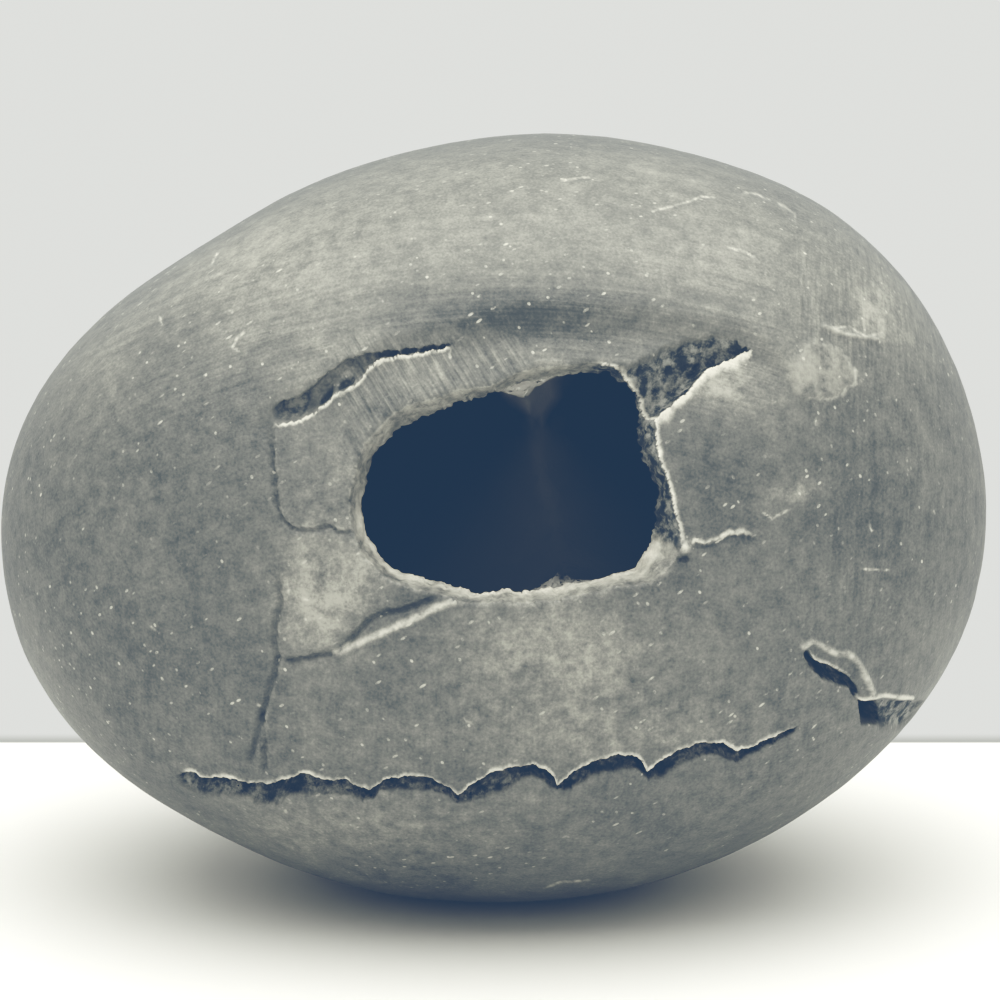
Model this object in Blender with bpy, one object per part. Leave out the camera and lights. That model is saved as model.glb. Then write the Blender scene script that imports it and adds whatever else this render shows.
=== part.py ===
"""A shaligram: a river-worn ovoid stone, broken open at the front.

The stone is one solid. A rough mouth in its front face opens on a hollow of two joined
lobes, a broken notch runs out of the mouth's upper right, and three cracks cross the
front. Lengths are millimetres until a mesh is made. +X runs along the stone, +Z is up,
the mouth faces -Y, and the origin is the middle of the bounding box, at the height of
the worn flat spot that the stone rests on.
"""
import math

import bmesh
import bpy
import numpy as np
from mathutils import Vector

MM = 0.001

# Body: radius of the upright middle section every 20 degrees, anticlockwise from +X
SECTION_RADII = (39.7, 39.1, 37.2, 33.8, 31.5, 30.4, 30.8, 32.8, 37.2,
                 39.6, 38.6, 35.0, 32.2, 30.8, 30.8, 32.2, 34.7, 38.0)
HALF_DEPTH = 28.0
DEPTH_POWER = 2.25
BALL_SUBDIVISIONS = 5
REST_CUT = 0.5

# Eye point: what lies on the front is laid out as (right, up) on a picture plane through
# the middle of the stone, and carried onto the skin along lines from this point
EYE_DISTANCE = 300.0
EYE_ELEVATION = math.radians(12.0)

# Shoulder: the skin steps in below this line, from left to right, and comes out again
SHOULDER_LINE = ((-21.0, 6.5), (-18.5, 9.0), (-12.4, 11.0), (-9.0, 13.8), (-3.0, 15.2),
                 (2.5, 16.6), (12.0, 16.4), (20.5, 15.0), (26.0, 11.0))
SHOULDER_DROP = 0.9
SHOULDER_SOFTNESS = 2.6
SHOULDER_FADE = 15.0

# Mouth: its edge on the skin and the edge of the hole behind it, at matching points
MOUTH_SKIN = ((10.2, 12.6), (12.6, 10.6), (13.3, 8.2), (13.3, 6.0), (14.3, 2.5), (14.9, -0.4),
              (15.2, -3.0), (13.0, -5.2), (9.9, -5.4), (6.0, -6.3), (1.2, -6.7), (-4.6, -6.0),
              (-8.6, -4.9), (-11.3, -1.7), (-11.7, 1.2), (-10.9, 5.5), (-8.8, 8.4),
              (-4.3, 10.2), (-0.2, 11.0), (3.0, 12.4), (6.3, 12.8))
MOUTH_HOLE = ((9.4, 12.0), (11.4, 9.8), (11.8, 8.2), (11.6, 6.4), (13.2, 2.5), (13.1, -0.2),
              (12.3, -2.6), (11.4, -3.7), (9.8, -4.3), (6.0, -5.2), (1.2, -5.6), (-4.4, -4.9),
              (-8.0, -4.0), (-10.3, -1.3), (-10.6, 1.0), (-9.8, 4.8), (-8.0, 7.3),
              (-3.7, 9.0), (0.2, 9.9), (3.2, 11.3), (6.4, 11.6))
MOUTH_WALL = 3.4
MOUTH_REACH = 10.0

# Notch: the broken slope beside the mouth, each point with its depth under the skin
NOTCH = ((9.0, 12.0, 3.6), (11.9, 13.1, 2.4), (14.3, 14.5, 1.8), (16.2, 15.1, 1.3),
         (19.0, 15.3, 0.8), (21.1, 14.1, 0.4), (17.8, 12.7, 1.5), (16.1, 10.6, 2.2),
         (13.3, 8.2, 3.0), (11.0, 9.0, 4.0))

# Hollow: two lobes that meet in a ridge on the back wall, as centre and half sizes
HOLLOW_LOBES = {
    "left_lobe": ((-4.0, -7.0, 3.5), (11.5, 16.0, 12.0)),
    "right_lobe": ((9.0, -7.0, 6.5), (9.0, 15.0, 10.5)),
}
LOBE_SEGMENTS = 28
LOBE_RINGS = 16

# Cracks: each point is (right, up, width of the gap, depth under the skin)
LONG_CRACK = ((-25.8, -21.0, 0.5, 0.8), (-24.6, -21.3, 1.5, 2.6), (-22.4, -21.6, 1.3, 3.2),
              (-20.3, -22.0, 1.6, 3.6), (-18.3, -22.2, 1.8, 3.8), (-16.0, -21.8, 1.4, 3.6),
              (-13.8, -21.5, 1.5, 3.4), (-11.6, -21.8, 1.3, 3.4), (-9.9, -22.4, 1.0, 3.0),
              (-8.2, -21.9, 0.9, 3.2), (-5.6, -21.6, 1.2, 3.4), (-3.5, -22.2, 1.0, 3.2),
              (-2.2, -22.6, 0.9, 3.0), (0.0, -21.6, 1.9, 3.8), (2.2, -20.7, 1.0, 3.4),
              (4.4, -20.8, 0.9, 3.2), (5.7, -22.0, 1.0, 3.0), (7.2, -21.3, 1.1, 3.2),
              (9.3, -20.1, 0.9, 3.0), (11.3, -19.7, 1.2, 2.8), (13.0, -20.8, 0.9, 2.6),
              (15.2, -19.6, 0.9, 2.4), (17.6, -18.6, 0.9, 2.2), (19.6, -19.3, 1.0, 2.0),
              (22.0, -18.1, 0.7, 1.6), (24.2, -17.2, 0.3, 0.8))
LOWER_CRACK = ((25.2, -10.8, 0.5, 0.8), (26.2, -11.8, 1.0, 2.0), (27.6, -12.6, 1.1, 2.4),
               (28.8, -13.4, 1.2, 2.6), (29.5, -14.6, 1.0, 2.4))
UPPER_CRACK = ((-3.0, 14.4, 0.3, 0.8), (-6.5, 13.9, 0.6, 1.6), (-9.3, 13.6, 0.7, 1.8),
               (-12.0, 12.6, 1.0, 2.0), (-13.9, 10.6, 1.2, 2.0), (-16.2, 9.4, 1.3, 1.8),
               (-18.4, 8.6, 1.6, 1.6))
CRACK_LIP_REACH = 1.5
CRACK_FLOOR_SHARE = 0.35

# Pit: the square hollow below the lower crack, with the depth of each corner
PIT = ((29.6, -14.7, 2.6), (31.7, -14.8, 2.4), (33.4, -15.3, 1.4), (32.0, -16.6, 1.8),
       (29.9, -16.5, 2.6))

STONE_COLOUR = (0.21, 0.215, 0.205, 1.0)
STONE_ROUGHNESS = 0.55


def start_clean():
    """Removes whatever the scene holds."""
    for item in list(bpy.data.objects):
        bpy.data.objects.remove(item, do_unlink=True)


def make_collection(name):
    """A new collection in the scene."""
    group = bpy.data.collections.new(name)
    bpy.context.scene.collection.children.link(group)
    return group


def section_radius(angle):
    """Radius of the middle section at an angle, on one smooth closed curve."""
    count = len(SECTION_RADII)
    waves = np.fft.rfft(SECTION_RADII) / count
    total = waves[0].real
    for order in range(1, len(waves)):
        share = 1.0 if 2 * order == count else 2.0
        total += share * (waves[order] * np.exp(1j * order * angle)).real
    return float(total)


def picture_axes():
    """The directions right, up and towards the eye."""
    right = Vector((1.0, 0.0, 0.0))
    up = Vector((0.0, math.sin(EYE_ELEVATION), math.cos(EYE_ELEVATION)))
    toward = Vector((0.0, -math.cos(EYE_ELEVATION), math.sin(EYE_ELEVATION)))
    return right, up, toward


def to_picture(point):
    """Where a point of space appears on the picture plane."""
    right, up, toward = picture_axes()
    shrink = EYE_DISTANCE / (EYE_DISTANCE - point.dot(toward))
    return point.dot(right) * shrink, point.dot(up) * shrink


def smooth_step(value):
    """Rises from 0 to 1 without a corner."""
    held = min(1.0, max(0.0, value))
    return held * held * (3.0 - 2.0 * held)


def shoulder_dent(across, height):
    """How far the skin lies inside the plain ovoid, below the shoulder line."""
    line_x = [spot[0] for spot in SHOULDER_LINE]
    line_z = [spot[1] for spot in SHOULDER_LINE]
    below = float(np.interp(across, line_x, line_z)) - height
    step = smooth_step(below / SHOULDER_SOFTNESS + 0.5)
    fade = 1.0 - smooth_step(below / SHOULDER_FADE)
    ends = smooth_step((across - line_x[0]) / 6.0) * smooth_step((line_x[-1] - across) / 6.0)
    return SHOULDER_DROP * step * fade * ends


def ovoid_point(direction):
    """The point of the plain ovoid that a unit direction is mapped to."""
    angle = math.atan2(direction.z, direction.x)
    out = math.hypot(direction.x, direction.z) ** (2.0 / DEPTH_POWER)
    back = math.copysign(abs(direction.y) ** (2.0 / DEPTH_POWER), direction.y)
    reach = section_radius(angle) * out
    return Vector((reach * math.cos(angle), HALF_DEPTH * back, reach * math.sin(angle)))


def inside_value(point):
    """Below 1 inside the plain ovoid, 1 on it and above 1 outside."""
    out = math.hypot(point.x, point.z) / section_radius(math.atan2(point.z, point.x))
    back = abs(point.y) / HALF_DEPTH
    return (out ** DEPTH_POWER + back ** DEPTH_POWER) ** (1.0 / DEPTH_POWER)


def sight_line(across, height):
    """Where the eye is, and the unit direction from it to a spot on the picture plane."""
    right, up, toward = picture_axes()
    eye = EYE_DISTANCE * toward
    return eye, (across * right + height * up - eye).normalized()


def on_skin(across, height, depth=0.0):
    """The point that a spot on the picture plane covers, sunk by a depth along the sight line."""
    eye, ray = sight_line(across, height)
    near = EYE_DISTANCE - 2.0 * HALF_DEPTH
    far = EYE_DISTANCE
    for _ in range(40):
        middle = (near + far) / 2.0
        if inside_value(eye + middle * ray) > 1.0:
            near = middle
        else:
            far = middle
    return eye + (near + shoulder_dent(across, height) + depth) * ray


def mesh_object(name, points, faces, group):
    """A closed mesh from points in millimetres, with its faces pointing out."""
    mesh = bpy.data.meshes.new(name)
    shape = bmesh.new()
    corners = [shape.verts.new(point * MM) for point in points]
    for face in faces:
        shape.faces.new([corners[index] for index in face])
    bmesh.ops.triangulate(shape, faces=[face for face in shape.faces if len(face.verts) > 3])
    bmesh.ops.recalc_face_normals(shape, faces=shape.faces)
    shape.to_mesh(mesh)
    shape.free()
    item = bpy.data.objects.new(name, mesh)
    group.objects.link(item)
    return item


def loft(name, rings, group):
    """A closed solid through rings of equally many points, with flat caps."""
    size = len(rings[0])
    points = [point for ring in rings for point in ring]
    faces = [list(range(size)), list(range(len(points) - size, len(points)))]
    for row in range(len(rings) - 1):
        for step in range(size):
            after = (step + 1) % size
            faces.append([row * size + step, row * size + after,
                          (row + 1) * size + after, (row + 1) * size + step])
    return mesh_object(name, points, faces, group)


def grown(outline, amount):
    """An outline moved out from its middle by an amount."""
    middle_x = sum(spot[0] for spot in outline) / len(outline)
    middle_z = sum(spot[1] for spot in outline) / len(outline)
    moved = []
    for across, height in outline:
        reach = math.hypot(across - middle_x, height - middle_z)
        share = 1.0 + amount / reach
        moved.append((middle_x + (across - middle_x) * share,
                      middle_z + (height - middle_z) * share))
    return moved


def make_mouth(group):
    """The mouth: from its edge on the skin in to the hole, and on into the hollow."""
    rings = [
        [on_skin(across, height, -3.0) for across, height in grown(MOUTH_SKIN, 1.5)],
        [on_skin(across, height) for across, height in MOUTH_SKIN],
        [on_skin(across, height, MOUTH_WALL) for across, height in MOUTH_HOLE],
        [on_skin(across, height, MOUTH_REACH) for across, height in MOUTH_HOLE],
    ]
    return loft("mouth", rings, group)


def make_pocket(name, corners, group):
    """A pocket cut in along the sight lines, from an outline with a depth at each point."""
    rings = [
        [on_skin(across, height, -2.0) for across, height, _ in corners],
        [on_skin(across, height, depth) for across, height, depth in corners],
    ]
    return loft(name, rings, group)


def make_crack(name, route, group):
    """A wedge swept along a route on the skin, widest where it is open."""
    spots = [on_skin(across, height) for across, height, _, _ in route]
    rings = []
    for index, (_, _, width, depth) in enumerate(route):
        ahead = spots[min(index + 1, len(spots) - 1)]
        behind = spots[max(index - 1, 0)]
        inward = -spots[index].normalized()
        side = (ahead - behind).cross(inward).normalized()
        lip = spots[index] - inward * CRACK_LIP_REACH
        floor = spots[index] + inward * depth
        half = width / 2.0
        spread = half * (1.0 + (1.0 - CRACK_FLOOR_SHARE) * CRACK_LIP_REACH / depth)
        rings.append([lip + side * spread, lip - side * spread,
                      floor - side * half * CRACK_FLOOR_SHARE,
                      floor + side * half * CRACK_FLOOR_SHARE])
    return loft(name, rings, group)


def make_lobe(name, centre, half_sizes, group):
    """One lobe of the hollow."""
    bpy.ops.mesh.primitive_uv_sphere_add(segments=LOBE_SEGMENTS, ring_count=LOBE_RINGS, radius=1.0)
    lobe = bpy.context.object
    lobe.name = name
    for corner in lobe.data.vertices:
        corner.co = Vector([(centre[axis] + corner.co[axis] * half_sizes[axis]) * MM
                            for axis in range(3)])
    for holder in list(lobe.users_collection):
        holder.objects.unlink(lobe)
    group.objects.link(lobe)
    return lobe


def make_rest_block(group):
    """The block that takes off the underside, down to the worn flat spot."""
    angles = np.linspace(0.0, 2.0 * math.pi, 721)
    lowest = min(section_radius(angle) * math.sin(angle) for angle in angles)
    size = 4.0 * HALF_DEPTH
    bpy.ops.mesh.primitive_cube_add(size=size * MM)
    block = bpy.context.object
    block.name = "rest_block"
    for corner in block.data.vertices:
        corner.co.z += (lowest + REST_CUT - size / 2.0) * MM
    for holder in list(block.users_collection):
        holder.objects.unlink(block)
    group.objects.link(block)
    return block


def make_body(group):
    """The whole ovoid, with its shoulder, before anything is cut out of it."""
    bpy.ops.mesh.primitive_ico_sphere_add(subdivisions=BALL_SUBDIVISIONS, radius=1.0)
    body = bpy.context.object
    body.name = "stone"
    body.data.name = "stone"
    for corner in body.data.vertices:
        point = ovoid_point(corner.co.normalized())
        if point.y < 0.0:
            across, height = to_picture(point)
            _, ray = sight_line(across, height)
            point = point + ray * shoulder_dent(across, height)
        corner.co = point * MM
    for holder in list(body.users_collection):
        holder.objects.unlink(body)
    group.objects.link(body)
    return body


def stone_material():
    """Dark grey stone, worn to a satin finish."""
    material = bpy.data.materials.new("worn_stone")
    material.use_nodes = True
    shader = material.node_tree.nodes["Principled BSDF"]
    shader.inputs["Base Color"].default_value = STONE_COLOUR
    shader.inputs["Roughness"].default_value = STONE_ROUGHNESS
    shader.inputs["Metallic"].default_value = 0.0
    return material


def cut_away(body, cutters):
    """Takes each cutter out of the body."""
    for cutter in cutters:
        cutter.hide_render = True
        cutter.display_type = "WIRE"
        cut = body.modifiers.new("cut_" + cutter.name, "BOOLEAN")
        cut.operation = "DIFFERENCE"
        cut.solver = "EXACT"
        cut.object = cutter


def stand_on_origin(body, holder):
    """Moves the holder, so that the cut stone's box stands on the origin, centred."""
    bpy.context.view_layer.update()
    cut_body = body.evaluated_get(bpy.context.evaluated_depsgraph_get())
    places = np.array([body.matrix_world @ corner.co for corner in cut_body.data.vertices])
    lowest = places.min(axis=0)
    highest = places.max(axis=0)
    middle = (lowest + highest) / 2.0
    holder.location = (-middle[0], -middle[1], -lowest[2])


def build():
    """Makes the stone and its cutters."""
    start_clean()
    parts = make_collection("shaligram_stone")
    cutter_group = make_collection("cutters")
    body = make_body(parts)
    body.data.materials.append(stone_material())
    cutters = [make_lobe(name, centre, sizes, cutter_group)
               for name, (centre, sizes) in HOLLOW_LOBES.items()]
    cutters.append(make_mouth(cutter_group))
    cutters.append(make_pocket("notch", NOTCH, cutter_group))
    cutters.append(make_crack("long_crack", LONG_CRACK, cutter_group))
    cutters.append(make_crack("lower_crack", LOWER_CRACK, cutter_group))
    cutters.append(make_crack("upper_crack", UPPER_CRACK, cutter_group))
    cutters.append(make_pocket("pit", PIT, cutter_group))
    cutters.append(make_rest_block(cutter_group))
    cut_away(body, cutters)
    holder = bpy.data.objects.new("stone_place", None)
    parts.objects.link(holder)
    for item in [body] + cutters:
        item.parent = holder
    stand_on_origin(body, holder)


build()
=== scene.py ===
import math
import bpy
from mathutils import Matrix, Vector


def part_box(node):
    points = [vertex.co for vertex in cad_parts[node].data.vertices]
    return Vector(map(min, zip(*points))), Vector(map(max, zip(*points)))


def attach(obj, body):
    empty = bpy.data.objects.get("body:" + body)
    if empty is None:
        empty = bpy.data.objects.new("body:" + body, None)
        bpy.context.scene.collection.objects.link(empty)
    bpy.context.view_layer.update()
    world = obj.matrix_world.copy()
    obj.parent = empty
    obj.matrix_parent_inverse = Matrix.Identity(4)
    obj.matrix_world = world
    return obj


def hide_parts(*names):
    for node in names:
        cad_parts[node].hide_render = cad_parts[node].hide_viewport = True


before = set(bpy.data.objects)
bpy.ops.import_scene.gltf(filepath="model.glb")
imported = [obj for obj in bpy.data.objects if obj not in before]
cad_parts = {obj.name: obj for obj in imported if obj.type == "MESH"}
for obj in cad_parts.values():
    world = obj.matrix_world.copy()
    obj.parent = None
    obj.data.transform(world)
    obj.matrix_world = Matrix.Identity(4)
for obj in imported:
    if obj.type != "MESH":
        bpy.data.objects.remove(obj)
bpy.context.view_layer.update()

# %% [markdown]
# # A shaligram stone
#
# A shaligram is a river-worn stone, smooth all over, often broken open where a shell once lay
# inside it. This one is an ovoid with a rough mouth in its front, a hollow of two lobes behind
# the mouth, and cracks across its face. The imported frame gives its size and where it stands.
# The looks are made here: one fine mesh that takes the place of the plain solid, and one
# material whose finish changes from worn skin to fresh broken stone.

# %% Start from the frame
from types import SimpleNamespace

import bmesh
import bpy
import numpy as np
from mathutils import Vector

MM = 0.001
stone_low, stone_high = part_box("stone")
stone_size = [round((high - low) / MM, 2) for low, high in zip(stone_low, stone_high)]
print("stone box in mm:", stone_size)

# %% [markdown]
# ## The ovoid
#
# The stone's upright middle section is a lopsided egg. A handful of radii, joined by a sum of
# waves, gives a closed outline with no corner anywhere. From front to back the section shrinks
# by one power rule, squarer than an ellipse, because the real face is flatter than a ball's.
# Any unit direction can then be turned into a point of the skin.

# %% The ovoid's rule
SECTION_RADII = (39.7, 39.1, 37.2, 33.8, 31.5, 30.4, 30.8, 32.8, 37.2,
                 39.6, 38.6, 35.0, 32.2, 30.8, 30.8, 32.2, 34.7, 38.0)
HALF_DEPTH = 28.0
DEPTH_POWER = 2.25
SLOPE_STEP = 0.02
RING_STEPS = 720


def section_radius(angle):
    """Radius of the middle section, in millimetres, at angles anticlockwise from +X."""
    count = len(SECTION_RADII)
    waves = np.fft.rfft(SECTION_RADII) / count
    total = np.full_like(angle, waves[0].real)
    for order in range(1, len(waves)):
        share = 1.0 if 2 * order == count else 2.0
        total = total + share * (waves[order] * np.exp(1j * order * angle)).real
    return total


def ovoid_points(directions):
    """Points of the plain ovoid for unit directions."""
    angle = np.arctan2(directions[:, 2], directions[:, 0])
    out = np.hypot(directions[:, 0], directions[:, 2]) ** (2.0 / DEPTH_POWER)
    back = np.sign(directions[:, 1]) * np.abs(directions[:, 1]) ** (2.0 / DEPTH_POWER)
    reach = section_radius(angle) * out
    return np.stack([reach * np.cos(angle), HALF_DEPTH * back, reach * np.sin(angle)], axis=1)


def inside_value(points):
    """Below 1 inside the ovoid, 1 on its skin and above 1 outside."""
    angle = np.arctan2(points[:, 2], points[:, 0])
    out = np.hypot(points[:, 0], points[:, 2]) / section_radius(angle)
    back = np.abs(points[:, 1]) / HALF_DEPTH
    return (out ** DEPTH_POWER + back ** DEPTH_POWER) ** (1.0 / DEPTH_POWER)


def skin_normals(points):
    """Outward normals of the ovoid, from small steps along each axis."""
    slopes = []
    for axis in range(3):
        shift = np.zeros(3)
        shift[axis] = SLOPE_STEP
        slopes.append(inside_value(points + shift) - inside_value(points - shift))
    slopes = np.stack(slopes, axis=1)
    return slopes / np.linalg.norm(slopes, axis=1, keepdims=True)


ring = np.linspace(0.0, 2.0 * math.pi, RING_STEPS + 1)
ring_height = section_radius(ring) * np.sin(ring)
SECTION_LOW = float(ring_height.min())
SECTION_HIGH = float(ring_height.max())
REST_LEVEL = SECTION_HIGH - (stone_high[2] - stone_low[2]) / MM
print("the section runs from", round(SECTION_LOW, 2), "to", round(SECTION_HIGH, 2), "mm")
print("the worn flat spot is", round(REST_LEVEL - SECTION_LOW, 2), "mm deep")

# %% [markdown]
# ## Laying out the front
#
# Everything on the front was laid out as it is seen: as (right, up) in millimetres on a flat
# picture plane through the stone's middle, looked at from one eye point. Lines from that point
# carry each spot onto the skin. The camera stands at the same point later.

# %% The picture plane
EYE_DISTANCE = 300.0
EYE_ELEVATION = math.radians(12.0)
SIGHT_HALVINGS = 30
RIGHT = np.array([1.0, 0.0, 0.0])
UP = np.array([0.0, math.sin(EYE_ELEVATION), math.cos(EYE_ELEVATION)])
TOWARD = np.array([0.0, -math.cos(EYE_ELEVATION), math.sin(EYE_ELEVATION)])


def to_picture(points):
    """Where points of space appear on the picture plane."""
    shrink = EYE_DISTANCE / (EYE_DISTANCE - points @ TOWARD)
    return (points @ RIGHT) * shrink, (points @ UP) * shrink


def on_skin(across, height):
    """The skin point behind each spot of the picture plane, and the sight line's direction."""
    eye = EYE_DISTANCE * TOWARD
    ray = across[:, None] * RIGHT + height[:, None] * UP - eye
    ray = ray / np.linalg.norm(ray, axis=1, keepdims=True)
    near = np.full(len(across), EYE_DISTANCE - 2.0 * HALF_DEPTH)
    far = np.full(len(across), EYE_DISTANCE)
    for _ in range(SIGHT_HALVINGS):
        middle = (near + far) / 2.0
        outside = inside_value(eye + middle[:, None] * ray) > 1.0
        near = np.where(outside, middle, near)
        far = np.where(outside, far, middle)
    return eye + near[:, None] * ray, ray


front_spot, _ = on_skin(np.array([0.0]), np.array([0.0]))
print("the middle of the picture meets the skin at", np.round(front_spot[0], 1))

# %% [markdown]
# ## Small tools for lines on the stone
#
# A crack's lip is a line that runs from left to right, so it is a list of points that is read
# like a graph. A crease may turn any way, so it is read by its distance. Both get a little
# raggedness from a few waves of unrelated length, which is cheap and never random. Round the
# mouth the waves have to meet again after one turn, so there they are whole numbers.

# %% Lines, steps and raggedness
FAR = 60.0
RAGGED_WAVES = ((0.5, 1.0), (0.32, 2.23), (0.24, 4.61), (0.16, 9.7))
RING_WAVES = ((0.5, 1), (0.32, 2), (0.26, 5), (0.18, 9))
WAVE_TURN = 7.3


def smooth_step(value):
    """Rises from 0 to 1 without a corner."""
    held = np.clip(value, 0.0, 1.0)
    return held * held * (3.0 - 2.0 * held)


def line_height(line, across):
    """Height of a left-to-right line at each place along it."""
    return np.interp(across, [spot[0] for spot in line], [spot[1] for spot in line])


def ragged(along, size, length, shift):
    """An uneven wave of about the given size and wave length."""
    total = 0.0
    for share, rate in RAGGED_WAVES:
        turn = 2.0 * math.pi * rate * along / length + shift * rate * WAVE_TURN
        total = total + share * np.sin(turn)
    return size * total


def ring_wave(angle, size, count, shift):
    """An uneven wave that closes on itself when it has gone once round."""
    total = 0.0
    for share, rate in RING_WAVES:
        total = total + share * np.sin(count * rate * angle + shift * rate * WAVE_TURN)
    return size * total


def near_line(across, height, line):
    """Distance to a line, which side each spot lies on, and how far along the line it is."""
    best = np.full(len(across), np.inf)
    side = np.zeros(len(across))
    along = np.zeros(len(across))
    walked = 0.0
    for start, end in zip(line[:-1], line[1:]):
        step_x, step_z = end[0] - start[0], end[1] - start[1]
        length = math.hypot(step_x, step_z)
        away_x, away_z = across - start[0], height - start[1]
        share = np.clip((away_x * step_x + away_z * step_z) / length ** 2, 0.0, 1.0)
        distance = np.hypot(away_x - share * step_x, away_z - share * step_z)
        closer = distance < best
        best = np.where(closer, distance, best)
        turn = (away_z * step_x - away_x * step_z) / length
        side = np.where(closer, turn, side)
        along = np.where(closer, walked + share * length, along)
        walked += length
    return best, side, along / walked


def bump_shape(distance, width):
    """1 on a line, falling smoothly to 0 at about twice the width."""
    return np.exp(-((distance / width) ** 2))


print("a ragged wave of 1 mm:", np.round(ragged(np.arange(4.0), 1.0, 3.0, 0.2), 2))

# %% [markdown]
# ## Where things are on the front
#
# These are the stone's own features, each named as it would be pointed out on the real one.
# They are only lines and places; how deep each one goes comes after.

# %% Places on the front
SHOULDER_LINE = ((-21.0, 6.5), (-18.5, 9.0), (-12.4, 11.0), (-9.0, 13.8), (-3.0, 15.2),
                 (2.5, 16.6), (12.0, 16.4), (20.5, 15.0), (26.0, 11.0))

MOUTH_MIDDLE = (1.6, 2.9)
MOUTH_SKIN = ((10.2, 12.6), (12.3, 10.4), (13.2, 8.1), (13.2, 6.0), (13.7, 4.4), (14.5, 1.2),
              (15.2, -1.0), (15.0, -3.0), (13.0, -5.2), (9.9, -5.4), (6.0, -6.3), (1.2, -6.7),
              (-4.6, -6.0), (-8.6, -4.9), (-11.3, -1.7), (-11.7, 1.2), (-10.9, 5.5),
              (-8.8, 8.4), (-4.3, 10.2), (-0.2, 11.0), (3.0, 12.4), (6.3, 12.8))
MOUTH_HOLE = ((9.4, 12.0), (10.0, 11.1), (11.4, 10.7), (11.8, 9.0), (11.5, 6.6), (12.2, 4.8),
              (13.2, 2.5), (13.1, -0.2), (12.3, -2.6), (11.5, -3.9), (9.8, -4.3), (6.0, -5.2),
              (1.2, -5.6), (-4.4, -4.9), (-8.0, -4.0), (-10.3, -1.3), (-10.6, 1.0),
              (-9.8, 4.8), (-8.0, 7.3), (-6.4, 7.9), (-3.7, 9.0), (-0.9, 9.9), (0.4, 10.3),
              (3.2, 11.2), (6.4, 11.6))

NOTCH_UPPER = ((8.6, 12.2), (11.9, 13.1), (14.3, 14.5), (16.2, 15.1), (19.0, 15.3), (21.2, 14.1))
NOTCH_LOWER = ((8.6, 8.0), (12.9, 8.0), (13.4, 8.4), (14.8, 9.6), (16.1, 10.6), (17.4, 12.3),
               (19.4, 13.2), (21.2, 14.1))

LONG_UPPER = ((-25.7, -20.9), (-25.2, -20.5), (-24.4, -20.4), (-23.7, -20.9), (-21.5, -20.9),
              (-20.3, -21.3), (-18.2, -21.4), (-16.9, -21.1), (-15.4, -20.6), (-14.7, -20.7),
              (-13.8, -21.1), (-11.9, -21.1), (-11.3, -21.5), (-10.1, -22.0), (-9.2, -21.4),
              (-8.3, -21.0), (-6.1, -20.8), (-4.9, -21.1), (-3.6, -21.8), (-2.8, -22.4),
              (-1.5, -21.4), (0.0, -20.5), (1.2, -20.2), (3.2, -19.9), (4.4, -20.3),
              (5.0, -21.0), (5.2, -21.6), (6.0, -20.9), (7.4, -19.9), (8.7, -19.4),
              (10.0, -19.1), (11.3, -19.1), (12.2, -19.7), (12.5, -20.4), (13.9, -19.4),
              (14.9, -18.8), (16.5, -18.2), (17.6, -18.1), (18.8, -18.2), (19.8, -18.8),
              (20.9, -18.5), (22.3, -17.8), (23.7, -17.2), (25.0, -16.6))
LONG_LOWER = ((-25.7, -21.2), (-24.7, -22.0), (-23.1, -22.4), (-19.9, -22.5), (-19.3, -23.1),
              (-17.2, -23.2), (-16.6, -22.4), (-13.8, -22.3), (-11.5, -22.4), (-10.6, -22.9),
              (-9.6, -22.6), (-9.2, -22.0), (-7.7, -22.0), (-4.9, -22.0), (-4.0, -22.3),
              (-2.8, -23.1), (-1.0, -22.7), (0.0, -22.4), (1.2, -22.0), (2.1, -21.2),
              (3.3, -20.8), (4.2, -21.4), (4.9, -21.9), (6.3, -22.0), (7.2, -21.4),
              (8.4, -20.7), (11.3, -20.2), (11.9, -20.5), (12.6, -21.1), (13.5, -21.1),
              (14.6, -20.3), (15.5, -19.8), (17.6, -19.0), (18.6, -19.3), (19.8, -19.8),
              (20.7, -19.1), (22.3, -18.4), (24.2, -17.4), (25.0, -16.7))

LONG_SHADE = ((-25.7, 0.85), (25.0, 0.75))

LOWER_UPPER = ((25.0, -10.9), (25.5, -10.6), (26.1, -11.4), (26.8, -11.7), (27.5, -11.9),
               (28.2, -12.3), (28.9, -12.8), (29.5, -13.5), (30.0, -14.4))
LOWER_LOWER = ((25.0, -11.2), (25.8, -12.2), (26.8, -13.0), (27.9, -13.4), (28.9, -13.7),
               (29.3, -14.5), (30.0, -15.2))
LOWER_RIDGE = ((25.1, -10.3), (25.9, -9.8), (26.8, -10.3), (27.7, -10.8), (28.7, -10.8),
               (29.4, -11.3), (30.0, -12.4), (30.5, -13.4), (30.7, -13.9))
PIT_CORNERS = ((29.7, -14.8), (31.7, -14.8), (31.3, -16.5), (30.0, -16.5))
PIT_LEDGE = ((29.8, -14.6), (31.6, -14.2), (33.9, -14.4))

UPPER_UPPER = ((-18.4, 9.0), (-17.4, 9.6), (-15.6, 10.3), (-14.4, 11.2), (-13.0, 12.3),
               (-12.1, 12.9), (-10.9, 13.4), (-9.3, 13.8), (-7.7, 14.0), (-5.6, 14.3),
               (-3.0, 14.7))
UPPER_LOWER = ((-18.4, 8.0), (-17.0, 8.0), (-15.6, 8.5), (-14.3, 9.4), (-13.0, 10.4),
               (-11.4, 11.2), (-10.4, 12.3), (-9.6, 13.2), (-8.1, 13.6), (-6.5, 13.8),
               (-3.0, 14.5))

UPPER_SHADE = ((-18.4, 1.0), (-15.6, 1.0), (-15.0, 0.0), (-10.9, 0.0), (-10.2, 1.3), (-3.0, 1.3))
UPPER_POCKETS = ((-14.5, -13.2), (-12.9, -11.4))

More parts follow.
